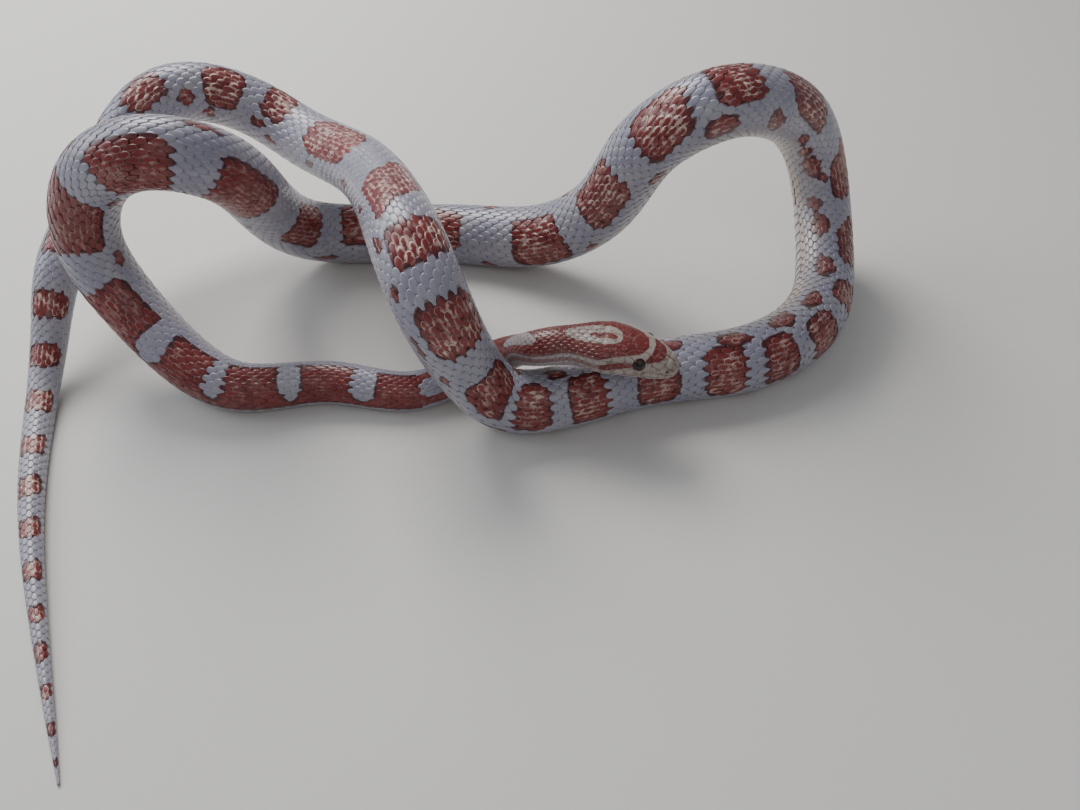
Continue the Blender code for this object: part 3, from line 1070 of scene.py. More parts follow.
snout, tip = len(points), len(points) + 1
tip_way = unit(place(LENGTH) - place(LENGTH - 2))
ends = [points[:HEAD_SIDES].mean(0), points[-BODY_SIDES:].mean(0) + tip_way * TIP_LENGTH]
points = np.vstack([points, ends])
last_ring = LENGTH - TIP_RINGS[-1]
for k in range(HEAD_SIDES):
    here, after = ((k + j) % HEAD_SIDES for j in (0, 1))
    turns = (turn_of(k + j, HEAD_SIDES) for j in (1, 0, 0.5))
    add_face(*zip((after, here, snout), (0.0,) * 3, turns))
for k in range(BODY_SIDES):
    here, after = (firsts[-2] + (k + j) % BODY_SIDES for j in (0, 1))
    turns = (turn_of(k + j, BODY_SIDES) for j in (0, 1, 0.5))
    add_face(*zip((here, after, tip), (last_ring,) * 3, turns))
print(len(points), "points and", len(faces), "faces in the skin")


# %% Helpers for meshes and objects
def make_mesh(name, points_mm, faces):
    mesh = bpy.data.meshes.new(name)
    mesh.from_pydata((np.asarray(points_mm) * MM).tolist(), [], faces)
    mesh.update()
    return mesh


def grid_faces(grid):
    """Four-cornered faces over a grid of point numbers."""
    quads = np.stack([grid[:-1, :-1], grid[:-1, 1:], grid[1:, 1:], grid[1:, :-1]], -1)
    return quads.reshape(-1, 4).tolist()


def add_object(name, data):
    """A new object with that mesh, lamp or camera, in the scene."""
    added = bpy.data.objects.new(name, data)
    bpy.context.scene.collection.objects.link(added)
    return added


def put_values(mesh, name, values, kind="FLOAT"):
    """One named value, or vector, on every point of a mesh."""
    field = "value" if kind == "FLOAT" else "vector"
    attribute = mesh.attributes.new(name, kind, "POINT")
    attribute.data.foreach_set(field, np.asarray(values, np.float32).ravel())


def put_marks(mesh, s, angle):
    for name, values in zip(MARKS, marks(s, angle)):
        put_values(mesh, name, values)


print("marks on every mesh:", ", ".join(MARKS))

# %% Make the skin's mesh
skin_mesh = make_mesh("snake_skin", points, faces)
corners = []
for face in face_places:
    middle_s = sum(s for s, _ in face) / len(face)
    corners += [(s, angle, middle_s) for s, angle in face]
corner_s, corner_angle, face_s = np.array(corners).T
layer = skin_mesh.uv_layers.new(name="unwrap")
layer.data.foreach_set("uv", unwrap(corner_s, corner_angle, face_s).ravel())
skin_mesh.shade_smooth()
skin = add_object("snake_skin", skin_mesh)
print("skin", np.round(np.ptp(points, axis=0)), "mm")

# %% Give the skin its marks
# How dark the skin is made where it shows between the scales, as painted shade, and how much more
# along a saddle's real dark outline; the net and the belly lessen it
SHADE_BETWEEN_SCALES, EDGE_DARK, NET_CLEARS, BELLY_CLEARS = 0.35, 0.55, 0.9, 0.3
SCALES_FADE_IN = (27, 36)
PITS_END = 28
TIP_DARK = 0.6
put_marks(skin_mesh, np.append(ring_s, [0.0, LENGTH]), np.append(ring_angle, [0.0, 0.0]))
put_values(skin_mesh, "margin", np.append(plate_middle, [1.0, 0.0]))
saddle_there, _, fleck_there, belly_there, _ = marks(ring_s, ring_angle)
at_edge = np.exp(-(((saddle_there - 0.5) * EDGE_SPAN) ** 2))
gap_shade_and_rim = (SHADE_BETWEEN_SCALES + EDGE_DARK * at_edge) * (1 - NET_CLEARS * fleck_there)
gap_shade_and_rim *= (1 - BELLY_CLEARS * belly_there) * smooth_step(*SCALES_FADE_IN, ring_s)
# Painted shade in the mouth slit and nostril pit near the snout and in the gaps between the
# scales; the extra dark at a saddle's outline is its real dark rim
dark = np.maximum(mouth_and_nostril_shade * (ring_s < PITS_END), gap_shade_and_rim)
put_values(skin_mesh, "dark", np.append(dark, [0.0, TIP_DARK]))
print(f"dark between the scales, on average {gap_shade_and_rim.mean():.2f}")

# %% [markdown]
# ## One material for skin and scales
#
# Every piece carries the amounts of its marks as named attributes, so a single recipe colours
# all of them. It mixes the ground and the saddle red, each a little varied by noise, and on the
# head and neck it darkens the red up to halfway towards the seam red, as painted shade. Along
# the edges of the scales it lays a seam, paler on the ground and darker on the red, and inside
# the saddles a broken pale net; both come from the `margin` attribute, which is 1 in the middle
# of a scale and 0 at its edge. Then come the dark rim, the belly and the speckled face. Last the
# skin's `dark` attribute is mixed in: painted shade between the scales and in the mouth and
# nostrils, and the real dark outline of the saddles. A satin coat gives the soft shine. The
# small points of light on the crown are noise, cut off high.

# %% Colours and patches of noise
COLOURS = {
    "ground": (145, 143, 161),
    "ground_warm": (164, 161, 170),
    "ground_seam": (186, 183, 198),
    "red": (112, 31, 34),
    "red_warm": (132, 47, 44),
    # Dark red of the scale edges; the red of the head and neck is also mixed towards it as painted
    # shade
    "red_seam_and_head_shade": (84, 24, 27),
    "net": (214, 186, 176),
    "rim": (44, 16, 22),
    "cream": (190, 178, 166),
    "cream_seam": (150, 126, 112),
    "face": (164, 151, 143),
    "face_seam": (112, 92, 84),
    # Mixed in by the skin's `dark` attribute: painted shade between the scales and in mouth and
    # nostril, and the saddles' real dark outline
    "dark": (30, 16, 20),
}
# Noise: how many lumps to a metre, how fine they are, and the two levels it is cut between
NOISES = {
    "cloud": (90, 3, 0.35, 0.65),
    "net": (180, 2, 0.36, 0.52),
    "ragged": (450, 1, 0.3, 0.7),
    "dots": (1300, 1, 0.58, 0.68),
    "rim": (300, 1, 0.3, 0.6),
    "cream": (60, 3, 0.3, 0.7),
    "specks": (620, 2, 0.52, 0.64),
    "shine": (400, 3, 0.3, 0.7),
}
GRAIN_LUMPS, GRAIN_DETAIL, GRAIN_DEPTH = 2500, 2, 0.0002


def linear(name):
    """A named colour from 0 to 255 as the linear values that shaders take."""

    def straight(v):
        return v / 12.92 if v <= 0.04045 else ((v + 0.055) / 1.055) ** 2.4

    return (*(straight(value / 255) for value in COLOURS[name]), 1.0)


print(len(COLOURS), "colours and", len(NOISES), "kinds of noise")


# %% A short way to add nodes
class NodeKit:
    """A node tree, with a short way to add a node, set its inputs and wire it up."""

    def __init__(self, tree):
        self.nodes, self.links = tree.nodes, tree.links

    def plug(self, socket, value):
        """Wire another node's output into a socket, or write a plain value there."""
        if isinstance(value, bpy.types.NodeSocket):
            self.links.new(value, socket)
        else:
            socket.default_value = value

    def fill(self, node, inputs):
        for socket, value in inputs.items():
            self.plug(node.inputs[socket], value)

    def add(self, kind, inputs=None, **settings):
        node = self.nodes.new(kind)
        for setting, value in settings.items():
            setattr(node, setting, value)
        self.fill(node, inputs or {})
        return node

    def maths(self, operation, a, b, clamp=False):
        node = self.add("ShaderNodeMath", {0: a, 1: b}, operation=operation, use_clamp=clamp)
        return node.outputs[0]

    def times(self, a, b, clamp=False):
        return self.maths("MULTIPLY", a, b, clamp)


print("the kit knows", ", ".join(name for name in vars(NodeKit) if name[0] != "_"))


# %% The nodes of a material
class MaterialKit(NodeKit):
    """A new material's tree, with the nodes that the snake's colours need."""

    def __init__(self, name):
        self.material = bpy.data.materials.new(name)
        self.material.use_nodes = True
        super().__init__(self.material.node_tree)
        self.shader = self.nodes["Principled BSDF"]

    def value_of(self, attribute):
        return self.add("ShaderNodeAttribute", attribute_name=attribute).outputs["Fac"]

    def noise(self, lumps, detail):
        place_on_piece = self.add("ShaderNodeTexCoord").outputs["Object"]
        inputs = {"Scale": lumps, "Detail": detail, "Vector": place_on_piece}
        return self.add("ShaderNodeTexNoise", inputs).outputs["Fac"]

    def spread(self, value, low, high, to_low=0.0, to_high=1.0):
        """A value from `low` to `high`, as one from `to_low` to `to_high`."""
        inputs = {"Value": value, "From Min": low, "From Max": high}
        inputs |= {"To Min": to_low, "To Max": to_high}
        return self.add("ShaderNodeMapRange", inputs).outputs["Result"]

    def patches(self, name, to_low=0.0, to_high=1.0):
        lumps, detail, low, high = NOISES[name]
        return self.spread(self.noise(lumps, detail), low, high, to_low, to_high)

    def mix(self, amount, a, b):
        """The first colour, and as much of the second over it as `amount` says."""
        a, b = (linear(colour) if isinstance(colour, str) else colour for colour in (a, b))
        node = self.add("ShaderNodeMix", data_type="RGBA")
        self.fill(node, {"Factor": amount, "A": a, "B": b})
        return node.outputs["Result"]


print("for materials also", ", ".join(name for name in vars(MaterialKit) if name[0] != "_"))

# %% The net, the points of light and the dark edge
NET_RAGGED, NET_FROM_EDGE = 0.42, (0.45, 0.72)
DOTS, DOTS_START, DOTS_END = 0.38, 8.0, (0.13, 0.2)
RIM_PATCHY, RIM_FROM_EDGE = (0.55, 0.95), (0.54, 0.8)


def broken_net(kit, fleck, inside, margin):
    """Pale flecks along the edges of the scales, inside the saddles."""
    amount = kit.times(kit.times(fleck, inside), kit.patches("net"), clamp=True)
    ragged = kit.maths("ADD", margin, kit.patches("ragged", -NET_RAGGED, NET_RAGGED))
    return kit.times(amount, kit.spread(ragged, *NET_FROM_EDGE, 1.0, 0.0))


def points_of_light(kit, fleck, inside, rim):
    """Small pale dots on the red of the crown, where the rim is weaker than on the body."""
    weak = kit.spread(fleck, *DOTS_END, DOTS, 0.0)
    amount = kit.times(weak, kit.times(fleck, DOTS_START, clamp=True))
    dots = kit.times(kit.patches("dots"), kit.times(amount, inside))
    return kit.times(dots, kit.maths("SUBTRACT", 1.0, rim, clamp=True))


def dark_edge(kit, saddle, inside, rim):
    """The dark outline of every saddle, fading towards its middle."""
    amount = kit.times(kit.times(rim, inside), kit.spread(saddle, *RIM_FROM_EDGE, 1.0, 0.0))
    return kit.times(amount, kit.patches("rim", *RIM_PATCHY))


print("noise in the net:", NOISES["net"], "in the dark edge:", NOISES["rim"])

# %% The recipe
INSIDE_A_MARK, INSIDE_A_SCALE = (0.46, 0.54), (0.05, 0.38)
# The third number: how far the red of the head and neck is darkened towards the seam red, as
# painted shade
GROUND_CLOUDS, RED_CLOUDS, PAINTED_SHADE_ON_HEAD_RED, FACE_SPECKS = 0.8, 0.9, 0.5, 0.75
SPECULAR, COAT_ROUGHNESS = 0.45, 0.22
LESS_ROUGH, MORE_ROUGH = 0.06, 0.08


def snake_material(name, roughness, coat, bump):
    """One finish: how rough, how strong its satin coat and how strong its grain."""
    kit = MaterialKit(name)
    mix, patches, times = kit.mix, kit.patches, kit.times
    saddle, rim, fleck, belly, face = map(kit.value_of, MARKS)
    margin, tone, dark = map(kit.value_of, ("margin", "tone", "dark"))
    inside = kit.spread(saddle, *INSIDE_A_MARK)
    inner = kit.spread(margin, *INSIDE_A_SCALE)
    cloud = kit.maths("ADD", patches("cloud"), tone)
    ground = mix(times(cloud, GROUND_CLOUDS, clamp=True), "ground", "ground_warm")
    red = mix(times(cloud, RED_CLOUDS, clamp=True), "red", "red_warm")
    # Painted shade: the red of the head and neck is pulled towards the dark seam red
    red = mix(times(face, PAINTED_SHADE_ON_HEAD_RED), red, "red_seam_and_head_shade")
    colour = mix(inner, mix(inside, "ground_seam", "red_seam_and_head_shade"), mix(inside, ground, red))
    colour = mix(broken_net(kit, fleck, inside, margin), colour, "net")
    colour = mix(points_of_light(kit, fleck, inside, rim), colour, "net")
    colour = mix(dark_edge(kit, saddle, inside, rim), colour, "rim")
    cream = mix(inner, "cream_seam", mix(patches("cream"), "cream", "ground_warm"))
    colour = mix(belly, colour, cream)
    specks = patches("specks", 0.0, FACE_SPECKS)
    pale = mix(inner, "face_seam", mix(specks, "face", "face_seam"))
    off_mark, off_belly = (kit.maths("SUBTRACT", 1.0, v, clamp=True) for v in (inside, belly))
    colour = mix(times(times(face, off_mark), off_belly), colour, pale)
    grain_inputs = {
        "Strength": bump,
        "Distance": GRAIN_DEPTH,
        "Height": kit.noise(GRAIN_LUMPS, GRAIN_DETAIL),
    }
    grain = kit.add("ShaderNodeBump", grain_inputs)
    finish = {
        "Base Color": mix(dark, colour, "dark"),
        "Roughness": patches("shine", roughness - LESS_ROUGH, roughness + MORE_ROUGH),
        "Specular IOR Level": SPECULAR,
        "Coat Weight": coat,
        "Coat Roughness": COAT_ROUGHNESS,
        "Normal": grain.outputs["Normal"],
    }
    kit.fill(kit.shader, finish)
    return kit.material


skin_material = snake_material("snake_skin", 0.44, 0.06, 0.15)
scale_material = snake_material("dorsal_scales", 0.34, 0.34, 0.12)
plate_material = snake_material("belly_plates", 0.3, 0.2, 0.08)
print(len(scale_material.node_tree.nodes), "nodes in the material of the scales")

# %% Dress the skin
skin.data.materials.append(skin_material)
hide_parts(*[name for name in frame["nodes"] if not name.startswith("eye_")])
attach(skin, "root")
print("the skin stands for", len(frame["nodes"]) - 2, "solid parts")

# %% [markdown]
# ## One scale and one belly plate
#
# A scale is drawn once, in its own units: one unit across is the step from a row to its
# neighbour, one unit along is the pitch. It starts narrow under the scales ahead, is widest at
# its middle, where its flanks lie over those of its neighbours, and ends in a blunt tip. It is a
# closed body with a thin edge. Corners carry their place in the scale (`local`) and how far
# inside the outline they are (`margin`). The same function makes the belly plate, with another
# outline. Modelling each scale by hand would take as many shapes as there are seats.

# %% Outlines of the two shapes
# Along a shape: place, half width and height of its top
SCALE_PROFILE = (
    (-0.04, 0.18, -0.08),
    (0.08, 0.42, 0.0),
    (0.26, 0.66, 0.07),
    (0.48, 0.74, 0.12),
    (0.7, 0.66, 0.15),
    (0.86, 0.44, 0.17),
    (0.95, 0.15, 0.17),
)
PLATE_PROFILE = (
    (0.0, 0.97, -0.1),
    (0.35, 1.0, 0.02),
    (0.8, 1.0, 0.14),
    (1.08, 0.985, 0.2),
    (1.2, 0.95, 0.17),
)
SCALE_COLUMNS, PLATE_COLUMNS = (-1, -0.6, 0, 0.6, 1), np.linspace(-1, 1, 17)
print(len(SCALE_PROFILE), "rows of corners in a scale,", len(PLATE_PROFILE), "in a plate")

# %% Draw the two shapes
DOME_POWER = 2.2
KEEL_HALF_WIDTH = 0.5
UNDERSIDE_WIDTH, UNDERSIDE_LENGTH = 0.93, 0.96


def scale_shape(name, profile, columns, dome, keel, thickness):
    """A thin closed body over a grid of corners, its top domed, its edge turned down."""
    top, margin = [], []
    for row, (y, half, base) in enumerate(profile):
        for x in columns:
            keel_here = keel * max(0, 1 - abs(x) / KEEL_HALF_WIDTH)
            top.append((x * half, y, base + dome * half * (1 - abs(x) ** DOME_POWER) + keel_here))
            margin.append(0.0 if row in (0, len(profile) - 1) else 1 - abs(x) ** 2)
    grid = np.arange(len(top)).reshape(len(profile), len(columns))
    edge = [*grid[0], *grid[1:, -1], *grid[-1, -2::-1], *grid[-2:0:-1, 0]]
    middle_y = (profile[0][0] + profile[-1][0]) / 2
    under = []
    for x, y, z in (top[corner] for corner in edge):
        y = middle_y + (y - middle_y) * UNDERSIDE_LENGTH
        under.append((x * UNDERSIDE_WIDTH, y, z - thickness))
    faces = grid_faces(grid)
    low = [len(top) + k for k in range(len(edge))]
    for k in range(len(edge)):
        after = (k + 1) % len(edge)
        faces.append([edge[k], low[k], low[after], edge[after]])
    faces.append(low[::-1])
    corners = np.array(top + under)
    mesh = make_mesh(name, corners / MM, faces)
    put_values(mesh, "local", corners, "FLOAT_VECTOR")
    put_values(mesh, "margin", np.append(margin, np.zeros(len(under))))
    return add_object(name, mesh)


keeled_scale = scale_shape("keeled_scale", SCALE_PROFILE, SCALE_COLUMNS, 0.12, 0.03, 0.15)
belly_plate = scale_shape("belly_plate", PLATE_PROFILE, PLATE_COLUMNS, 0.0, 0.0, 0.16)
for shape in (keeled_scale, belly_plate):
    print(shape.name, "has", len(shape.data.polygons), "faces")

# %% [markdown]
# ## The sheet that the scales lie on
#
# Scales must follow every bend of the body, so they aren't set down as stiff pieces. A helper
# sheet holds the surface as a grid, with the distance along the body and the angle round it as
# its flat coordinates. Each corner of each scale then looks up its own place on that sheet. The
# sheet reaches past the belly's middle on both sides, so that a belly plate is one piece.

# %% Make the sheet
SHEET_REACH = 240.0
SHEET_STEP = 1.25
SHEET_TURN = 5.0


def sheet_place(s, angle):
    """The flat coordinates of a place on the body."""
    across = (angle + SHEET_REACH) / (2 * SHEET_REACH)
    return np.stack([across, s / LENGTH, np.zeros(np.shape(s))], -1)


sheet_s = np.linspace(0, LENGTH, int(LENGTH / SHEET_STEP))
sheet_angle = np.arange(-SHEET_REACH, SHEET_REACH + 0.1, SHEET_TURN)
grid_s = np.repeat(sheet_s, len(sheet_angle))
grid_angle = np.tile(sheet_angle, len(sheet_s))
grid_normal = outward(grid_s, grid_angle)
grid_points = surface(grid_s, grid_angle) - grid_normal * coat_depth(grid_s)[:, None]
cells = grid_faces(np.arange(len(grid_s)).reshape(len(sheet_s), len(sheet_angle)))
sheet_mesh = make_mesh("lay_sheet", grid_points, cells)
put_values(sheet_mesh, "outward", grid_normal, "FLOAT_VECTOR")
put_values(sheet_mesh, "flat", sheet_place(grid_s, grid_angle), "FLOAT_VECTOR")
sheet = add_object("lay_sheet", sheet_mesh)
print(len(cells), "cells in the sheet")

# %% [markdown]
# ## The tree that lays the scales
#
# The Geometry Nodes tree puts one scale on every seat, turns them into real mesh, and then moves
# each corner. It adds the corner's `local` place, stretched to the size of its seat, to the
# seat's flat coordinates, and reads the sheet's point and outward direction there. Where that
# place falls exactly on an edge between cells and finds nothing, it looks again a hair aside. A
# last step keeps everything above the floor. It also stores a small patch of the skin's unwrap
# for each scale, on which its colours can be baked.

# %% The tree's inputs
FLOOR_SCALE = 0.04
FLOOR_TILT = 0.3
SHEET_LIMIT = (0.9999, 0.9999, 0.0)
ASIDE = (0.00013, -0.00007, 0.0)
BAKE_PATCH = 0.003
SOCKETS = {
    "Geometry": "NodeSocketGeometry",
    "Sheet": "NodeSocketObject",
    "Scale shape": "NodeSocketObject",
    "Material": "NodeSocketMaterial",
    "Shape length": "NodeSocketFloat",
    "Floor": "NodeSocketFloat",
    "Patch": "NodeSocketFloat",
}
print(len(SOCKETS), "inputs for the tree")


# %% The tree's nodes
class GeometryKit(NodeKit):
    """A new Geometry Nodes tree with its sockets, and the nodes that laying scales needs."""

    def __init__(self, name):
        self.tree = bpy.data.node_groups.new(name, "GeometryNodeTree")
        for socket, kind in SOCKETS.items():
            self.tree.interface.new_socket(socket, in_out="INPUT", socket_type=kind)
        kind = SOCKETS["Geometry"]
        self.tree.interface.new_socket("Geometry", in_out="OUTPUT", socket_type=kind)
        super().__init__(self.tree)
        self.given = self.add("NodeGroupInput").outputs
        self.result = self.add("NodeGroupOutput")

    def named(self, name):
        kind = "GeometryNodeInputNamedAttribute"
        return self.add(kind, {"Name": name}, data_type="FLOAT_VECTOR").outputs["Attribute"]

    def vector(self, operation, a, b):
        second = "Scale" if operation == "SCALE" else 1
        node = self.add("ShaderNodeVectorMath", {0: a, second: b}, operation=operation)
        return node.outputs[0]

    def parts(self, value):
        return self.add("ShaderNodeSeparateXYZ", {0: value}).outputs

    def joined(self, x, y, z):
        return self.add("ShaderNodeCombineXYZ", {0: x, 1: y, 2: z}).outputs[0]

    def geometry_of(self, socket):
        node = self.add("GeometryNodeObjectInfo", {"Object": self.given[socket]})
        return node.outputs["Geometry"]

    def changed(self, kind, geometry, inputs, **settings):
        """The geometry after one more node."""
        return self.add(kind, {"Geometry": geometry, **inputs}, **settings).outputs["Geometry"]

    def look_up(self, value, at):
        """A value of the sheet at flat coordinates, and whether it was found."""
        inputs = {
            "Mesh": self.geometry_of("Sheet"),
            "Value": value,
            "Source UV Map": self.named("flat"),
            "Sample UV": at,
        }
        node = self.add("GeometryNodeSampleUVSurface", inputs, data_type="FLOAT_VECTOR")
        return node.outputs["Value"], node.outputs["Is Valid"]

    def read_sheet(self, value, at):
        """The same, with a second try a hair aside where nothing was found."""
        first, found = self.look_up(value, at)
        again, _ = self.look_up(value, self.vector("ADD", at, ASIDE))
        choice = self.add("GeometryNodeSwitch", input_type="VECTOR")
        self.fill(choice, {"Switch": found, "True": first, "False": again})
        return choice.outputs["Output"]


print("for geometry also", ", ".join(name for name in vars(GeometryKit) if name[0] != "_"))


# %% Build the tree
def scale_tree():
    kit = GeometryKit("lay_scales")
    vector, times, parts, given = kit.vector, kit.times, kit.parts, kit.given
    inputs = {"Points": given["Geometry"], "Instance": kit.geometry_of("Scale shape")}
    instances = kit.add("GeometryNodeInstanceOnPoints", inputs).outputs["Instances"]
    scales = kit.changed("GeometryNodeRealizeInstances", instances, {})

    local, span = parts(kit.named("local")), parts(kit.named("span"))
    offset = kit.joined(times(local[0], span[0]), times(local[1], span[1]), 0.0)
    at = vector("MINIMUM", vector("ADD", kit.named("seat"), offset), SHEET_LIMIT)
    lift = times(local[2], span[2])
    on_sheet = kit.read_sheet(kit.add("GeometryNodeInputPosition").outputs[0], at)
    out = kit.read_sheet(kit.named("outward"), at)
    point = parts(vector("ADD", on_sheet, vector("SCALE", out, lift)))
    least = kit.maths("ADD", given["Floor"], times(kit.maths("MAXIMUM", lift, 0.0), FLOOR_TILT))
    above_floor = kit.joined(point[0], point[1], kit.maths("MAXIMUM", point[2], least))
    scales = kit.changed("GeometryNodeSetPosition", scales, {"Position": above_floor})

    patch_y = kit.maths("DIVIDE", local[1], given["Shape length"])
    patch = kit.joined(kit.maths("SUBTRACT", patch_y, 0.5), times(local[0], 0.5), 0.0)
    spot = vector("ADD", kit.named("spot"), vector("SCALE", patch, given["Patch"]))
    bake = {"Name": "OFBake", "Value": spot}
    kind = {"data_type": "FLOAT2", "domain": "CORNER"}
    scales = kit.changed("GeometryNodeStoreNamedAttribute", scales, bake, **kind)
    scales = kit.changed("GeometryNodeSetShadeSmooth", scales, {})
    scales = kit.changed("GeometryNodeSetMaterial", scales, {"Material": given["Material"]})
    kit.fill(kit.result, {"Geometry": scales})
    return kit.tree


tree = scale_tree()
print(len(tree.nodes), "nodes in the tree")

# %% [markdown]
# ## Seats
#
# A seat is where one scale is rooted. Rows run along the body, and every other row is moved back
# by half a pitch, as in the animal, so that each scale's tip lies between two others. The angle
# between rows grows where the body gets thin, and the lowest rows then run out under the belly
# plates. Small random differences in size and tone keep the rows from looking stamped, and the
# tail is a little paler than the body.

# %% Seats of the scales on back and sides
ROWS_TO_A_SIDE = 18
# Angle, and the distance at which the scales begin behind the head's plates
SCALES_BEGIN = (
    (0, 24.6), (45, 24.8), (70, 25.2), (92, 26.0),
    (106, 26.0), (118, 20), (128, 15.4), (180, 14.6),
)
BARE_TIP = 1.5
FIRST_BELLY_PLATE = 33.0
THROAT_LIMIT = 179.0
ROW_BEYOND = 0.35


def dorsal_seats():
    """Distances and angles of all scales but the belly plates, row by row."""
    last_phase = phase_at(LENGTH - BARE_TIP)
    row, k = np.mgrid[-ROWS_TO_A_SIDE : ROWS_TO_A_SIDE + 1, 0 : int(last_phase) + 1]
    phase = k + 0.5 * (row % 2)
    row, phase = row[phase < last_phase], phase[phase < last_phase]
    s = distance_at(phase)
    angle = row * row_step(s)
    low = np.abs(angle)
    limit = SCALED_ARC / 2 + ROW_BEYOND * row_step(s)
    limit = np.where(s < FIRST_BELLY_PLATE, THROAT_LIMIT, limit)
    keep = (low <= limit) & (s >= table(SCALES_BEGIN, low)[0])
    return s[keep], angle[keep]


dorsal_s, dorsal_angle = dorsal_seats()
print(len(dorsal_s), "seats on back and sides")

# %% Seats of the belly plates
PLATE_HALF_ARC = 60.0
TAIL_OVERLAP = 1.02


def belly_seats():
    """Distance, angle and half width of each plate: one row, and two behind the vent."""
    s = distance_at(np.arange(math.ceil(phase_at(FIRST_BELLY_PLATE)), phase_at(LENGTH - BARE_TIP)))
    body, tail = s[s < VENT], s[s >= VENT]
    half = PLATE_HALF_ARC / 2
    rows = (
        (body, 180.0, PLATE_HALF_ARC),
        (tail, 180.0 - half, half * TAIL_OVERLAP),
        (tail, 180.0 + half, half * TAIL_OVERLAP),
    )
    return (np.concatenate(part) for part in zip(*(np.broadcast_arrays(*row) for row in rows)))


belly_s, belly_angle, belly_arc = belly_seats()
print(len(belly_s), "belly plates,", np.sum(belly_s < VENT), "of them before the vent")

# %% [markdown]
# ## From seats to a coat
#
# The seats are a mesh of single points, and a modifier with the tree turns it into scales. Its
# inputs are known by their sockets' identifiers, not by their names. A modifier's scales are
# only a promise, so the evaluated object is read out as a plain mesh and the modifier is taken
# off. Every corner of that mesh then gets its marks.

# %% Run the tree over the seats
def run_tree(piece, shape, material):
    """The scales on all seats of a piece, as one plain mesh."""
    inputs = {
        "Sheet": sheet,
        "Scale shape": shape,
        "Material": material,
        "Shape length": max(vertex.co.y for vertex in shape.data.vertices),
        "Floor": FLOOR_SCALE * MM,
        "Patch": BAKE_PATCH,
    }
    modifier = piece.modifiers.new("lay_scales", "NODES")
    modifier.node_group = tree
    for item in tree.interface.items_tree:
        if item.name in inputs and item.in_out == "INPUT":
            modifier[item.identifier] = inputs[item.name]
    bpy.context.view_layer.update()
    graph = bpy.context.evaluated_depsgraph_get()
    laid = bpy.data.meshes.new_from_object(piece.evaluated_get(graph))
    piece.modifiers.clear()
    return laid


print("inputs of the modifier:", [item.identifier for item in tree.interface.items_tree])

# %% Marks on the corners of the scales
TRUE_PLACE, NECK_TRUER = 0.5, (110, 95)


def put_scale_marks(mesh, seats, seen, reach):
    """Marks of a coat, read between a corner's true place and the middle of its scale."""
    local = np.zeros(3 * len(mesh.vertices))
    mesh.attributes["local"].data.foreach_get("vector", local)
    local = local.reshape(len(seats[0]), -1, 3)
    true_s = (seats[0][:, None] + local[:, :, 1] * reach[0][:, None]).ravel()
    true_angle = (seats[1][:, None] + local[:, :, 0] * reach[1][:, None]).ravel()
    s, angle = (np.repeat(values, local.shape[1]) for values in seen)
    part = TRUE_PLACE + (1 - TRUE_PLACE) * smooth_step(*NECK_TRUER, true_s)
    put_marks(mesh, s + part * (true_s - s), angle + part * (true_angle - angle))


print(f"a mark is read {TRUE_PLACE:.0%} of the way from a scale's middle to its corner")

# %% One piece of coat
SCALE_SEED = 12
SIZE_JITTER, TONE_JITTER = 0.04, 0.22
TAIL_TONE, TAIL_TONE_STARTS = 0.6, (VENT - 40, VENT + 50)
LIFT_PER_PITCH = 1 / 5.3
rng = np.random.default_rng(SCALE_SEED)


def lay(name, shape, material, slot, seats, half_arc, seen):
    """A scale of that shape on every seat, with its colours, as a finished piece."""
    s, angle = seats
    size = 1 + SIZE_JITTER * rng.standard_normal(len(s))
    across, along = half_arc * size, pitch(s) / stretch_at(s)
    span = (across / (2 * SHEET_REACH), along / LENGTH, pitch(s) * LIFT_PER_PITCH * MM)
    spots = unwrap(s, (angle + 180) % 360 - 180)
    tail_tone = TAIL_TONE * smooth_step(*TAIL_TONE_STARTS, s)
    rooted = make_mesh(name, surface(s, angle), [])
    put_values(rooted, "seat", sheet_place(s, angle), "FLOAT_VECTOR")
    put_values(rooted, "span", np.stack(span, -1), "FLOAT_VECTOR")
    put_values(rooted, "spot", np.column_stack([spots, np.zeros(len(s))]), "FLOAT_VECTOR")
    put_values(rooted, "tone", TONE_JITTER * rng.standard_normal(len(s)) + tail_tone)
    piece = add_object(name, rooted)
    piece.data = run_tree(piece, shape, material)
    bpy.data.meshes.remove(rooted)
    piece.data.name = name
    put_scale_marks(piece.data, seats, seen, (along, across))
    for attribute in ("seat", "span", "spot", "local"):
        piece.data.attributes.remove(piece.data.attributes[attribute])
    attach(piece, "root")
    triangles = sum(len(polygon.vertices) - 2 for polygon in piece.data.polygons)
    print(f"{name}: {len(s)} seats, {triangles} triangles")


print("sizes vary by", SIZE_JITTER, "and tones by", TONE_JITTER)

# %% Lay the scales and the belly plates
HEAD_SCALES_END = 60.0
BODY_PIECES = 5
SCALE_SEEN_AT = 0.45
on_body = (dorsal_s >= HEAD_SCALES_END) & (dorsal_s < VENT)
cuts = np.quantile(dorsal_s[on_body], np.linspace(0, 1, BODY_PIECES + 1))
cuts = [0, HEAD_SCALES_END, *cuts[1:-1], VENT, LENGTH]
names = ["head_scales", *(f"body_scales_{k + 1}" for k in range(BODY_PIECES)), "tail_scales"]
slots = ["head_skin", *["scaled_skin"] * BODY_PIECES, "tail_skin"]
for name, slot, start, end in zip(names, slots, cuts, cuts[1:]):
    chosen = (dorsal_s >= start) & (dorsal_s < end)
    s, angle = dorsal_s[chosen], dorsal_angle[chosen]
    seen = (s + SCALE_SEEN_AT * pitch(s) / stretch_at(s), angle)
    lay(name, keeled_scale, scale_material, slot, (s, angle), row_step(s), seen)

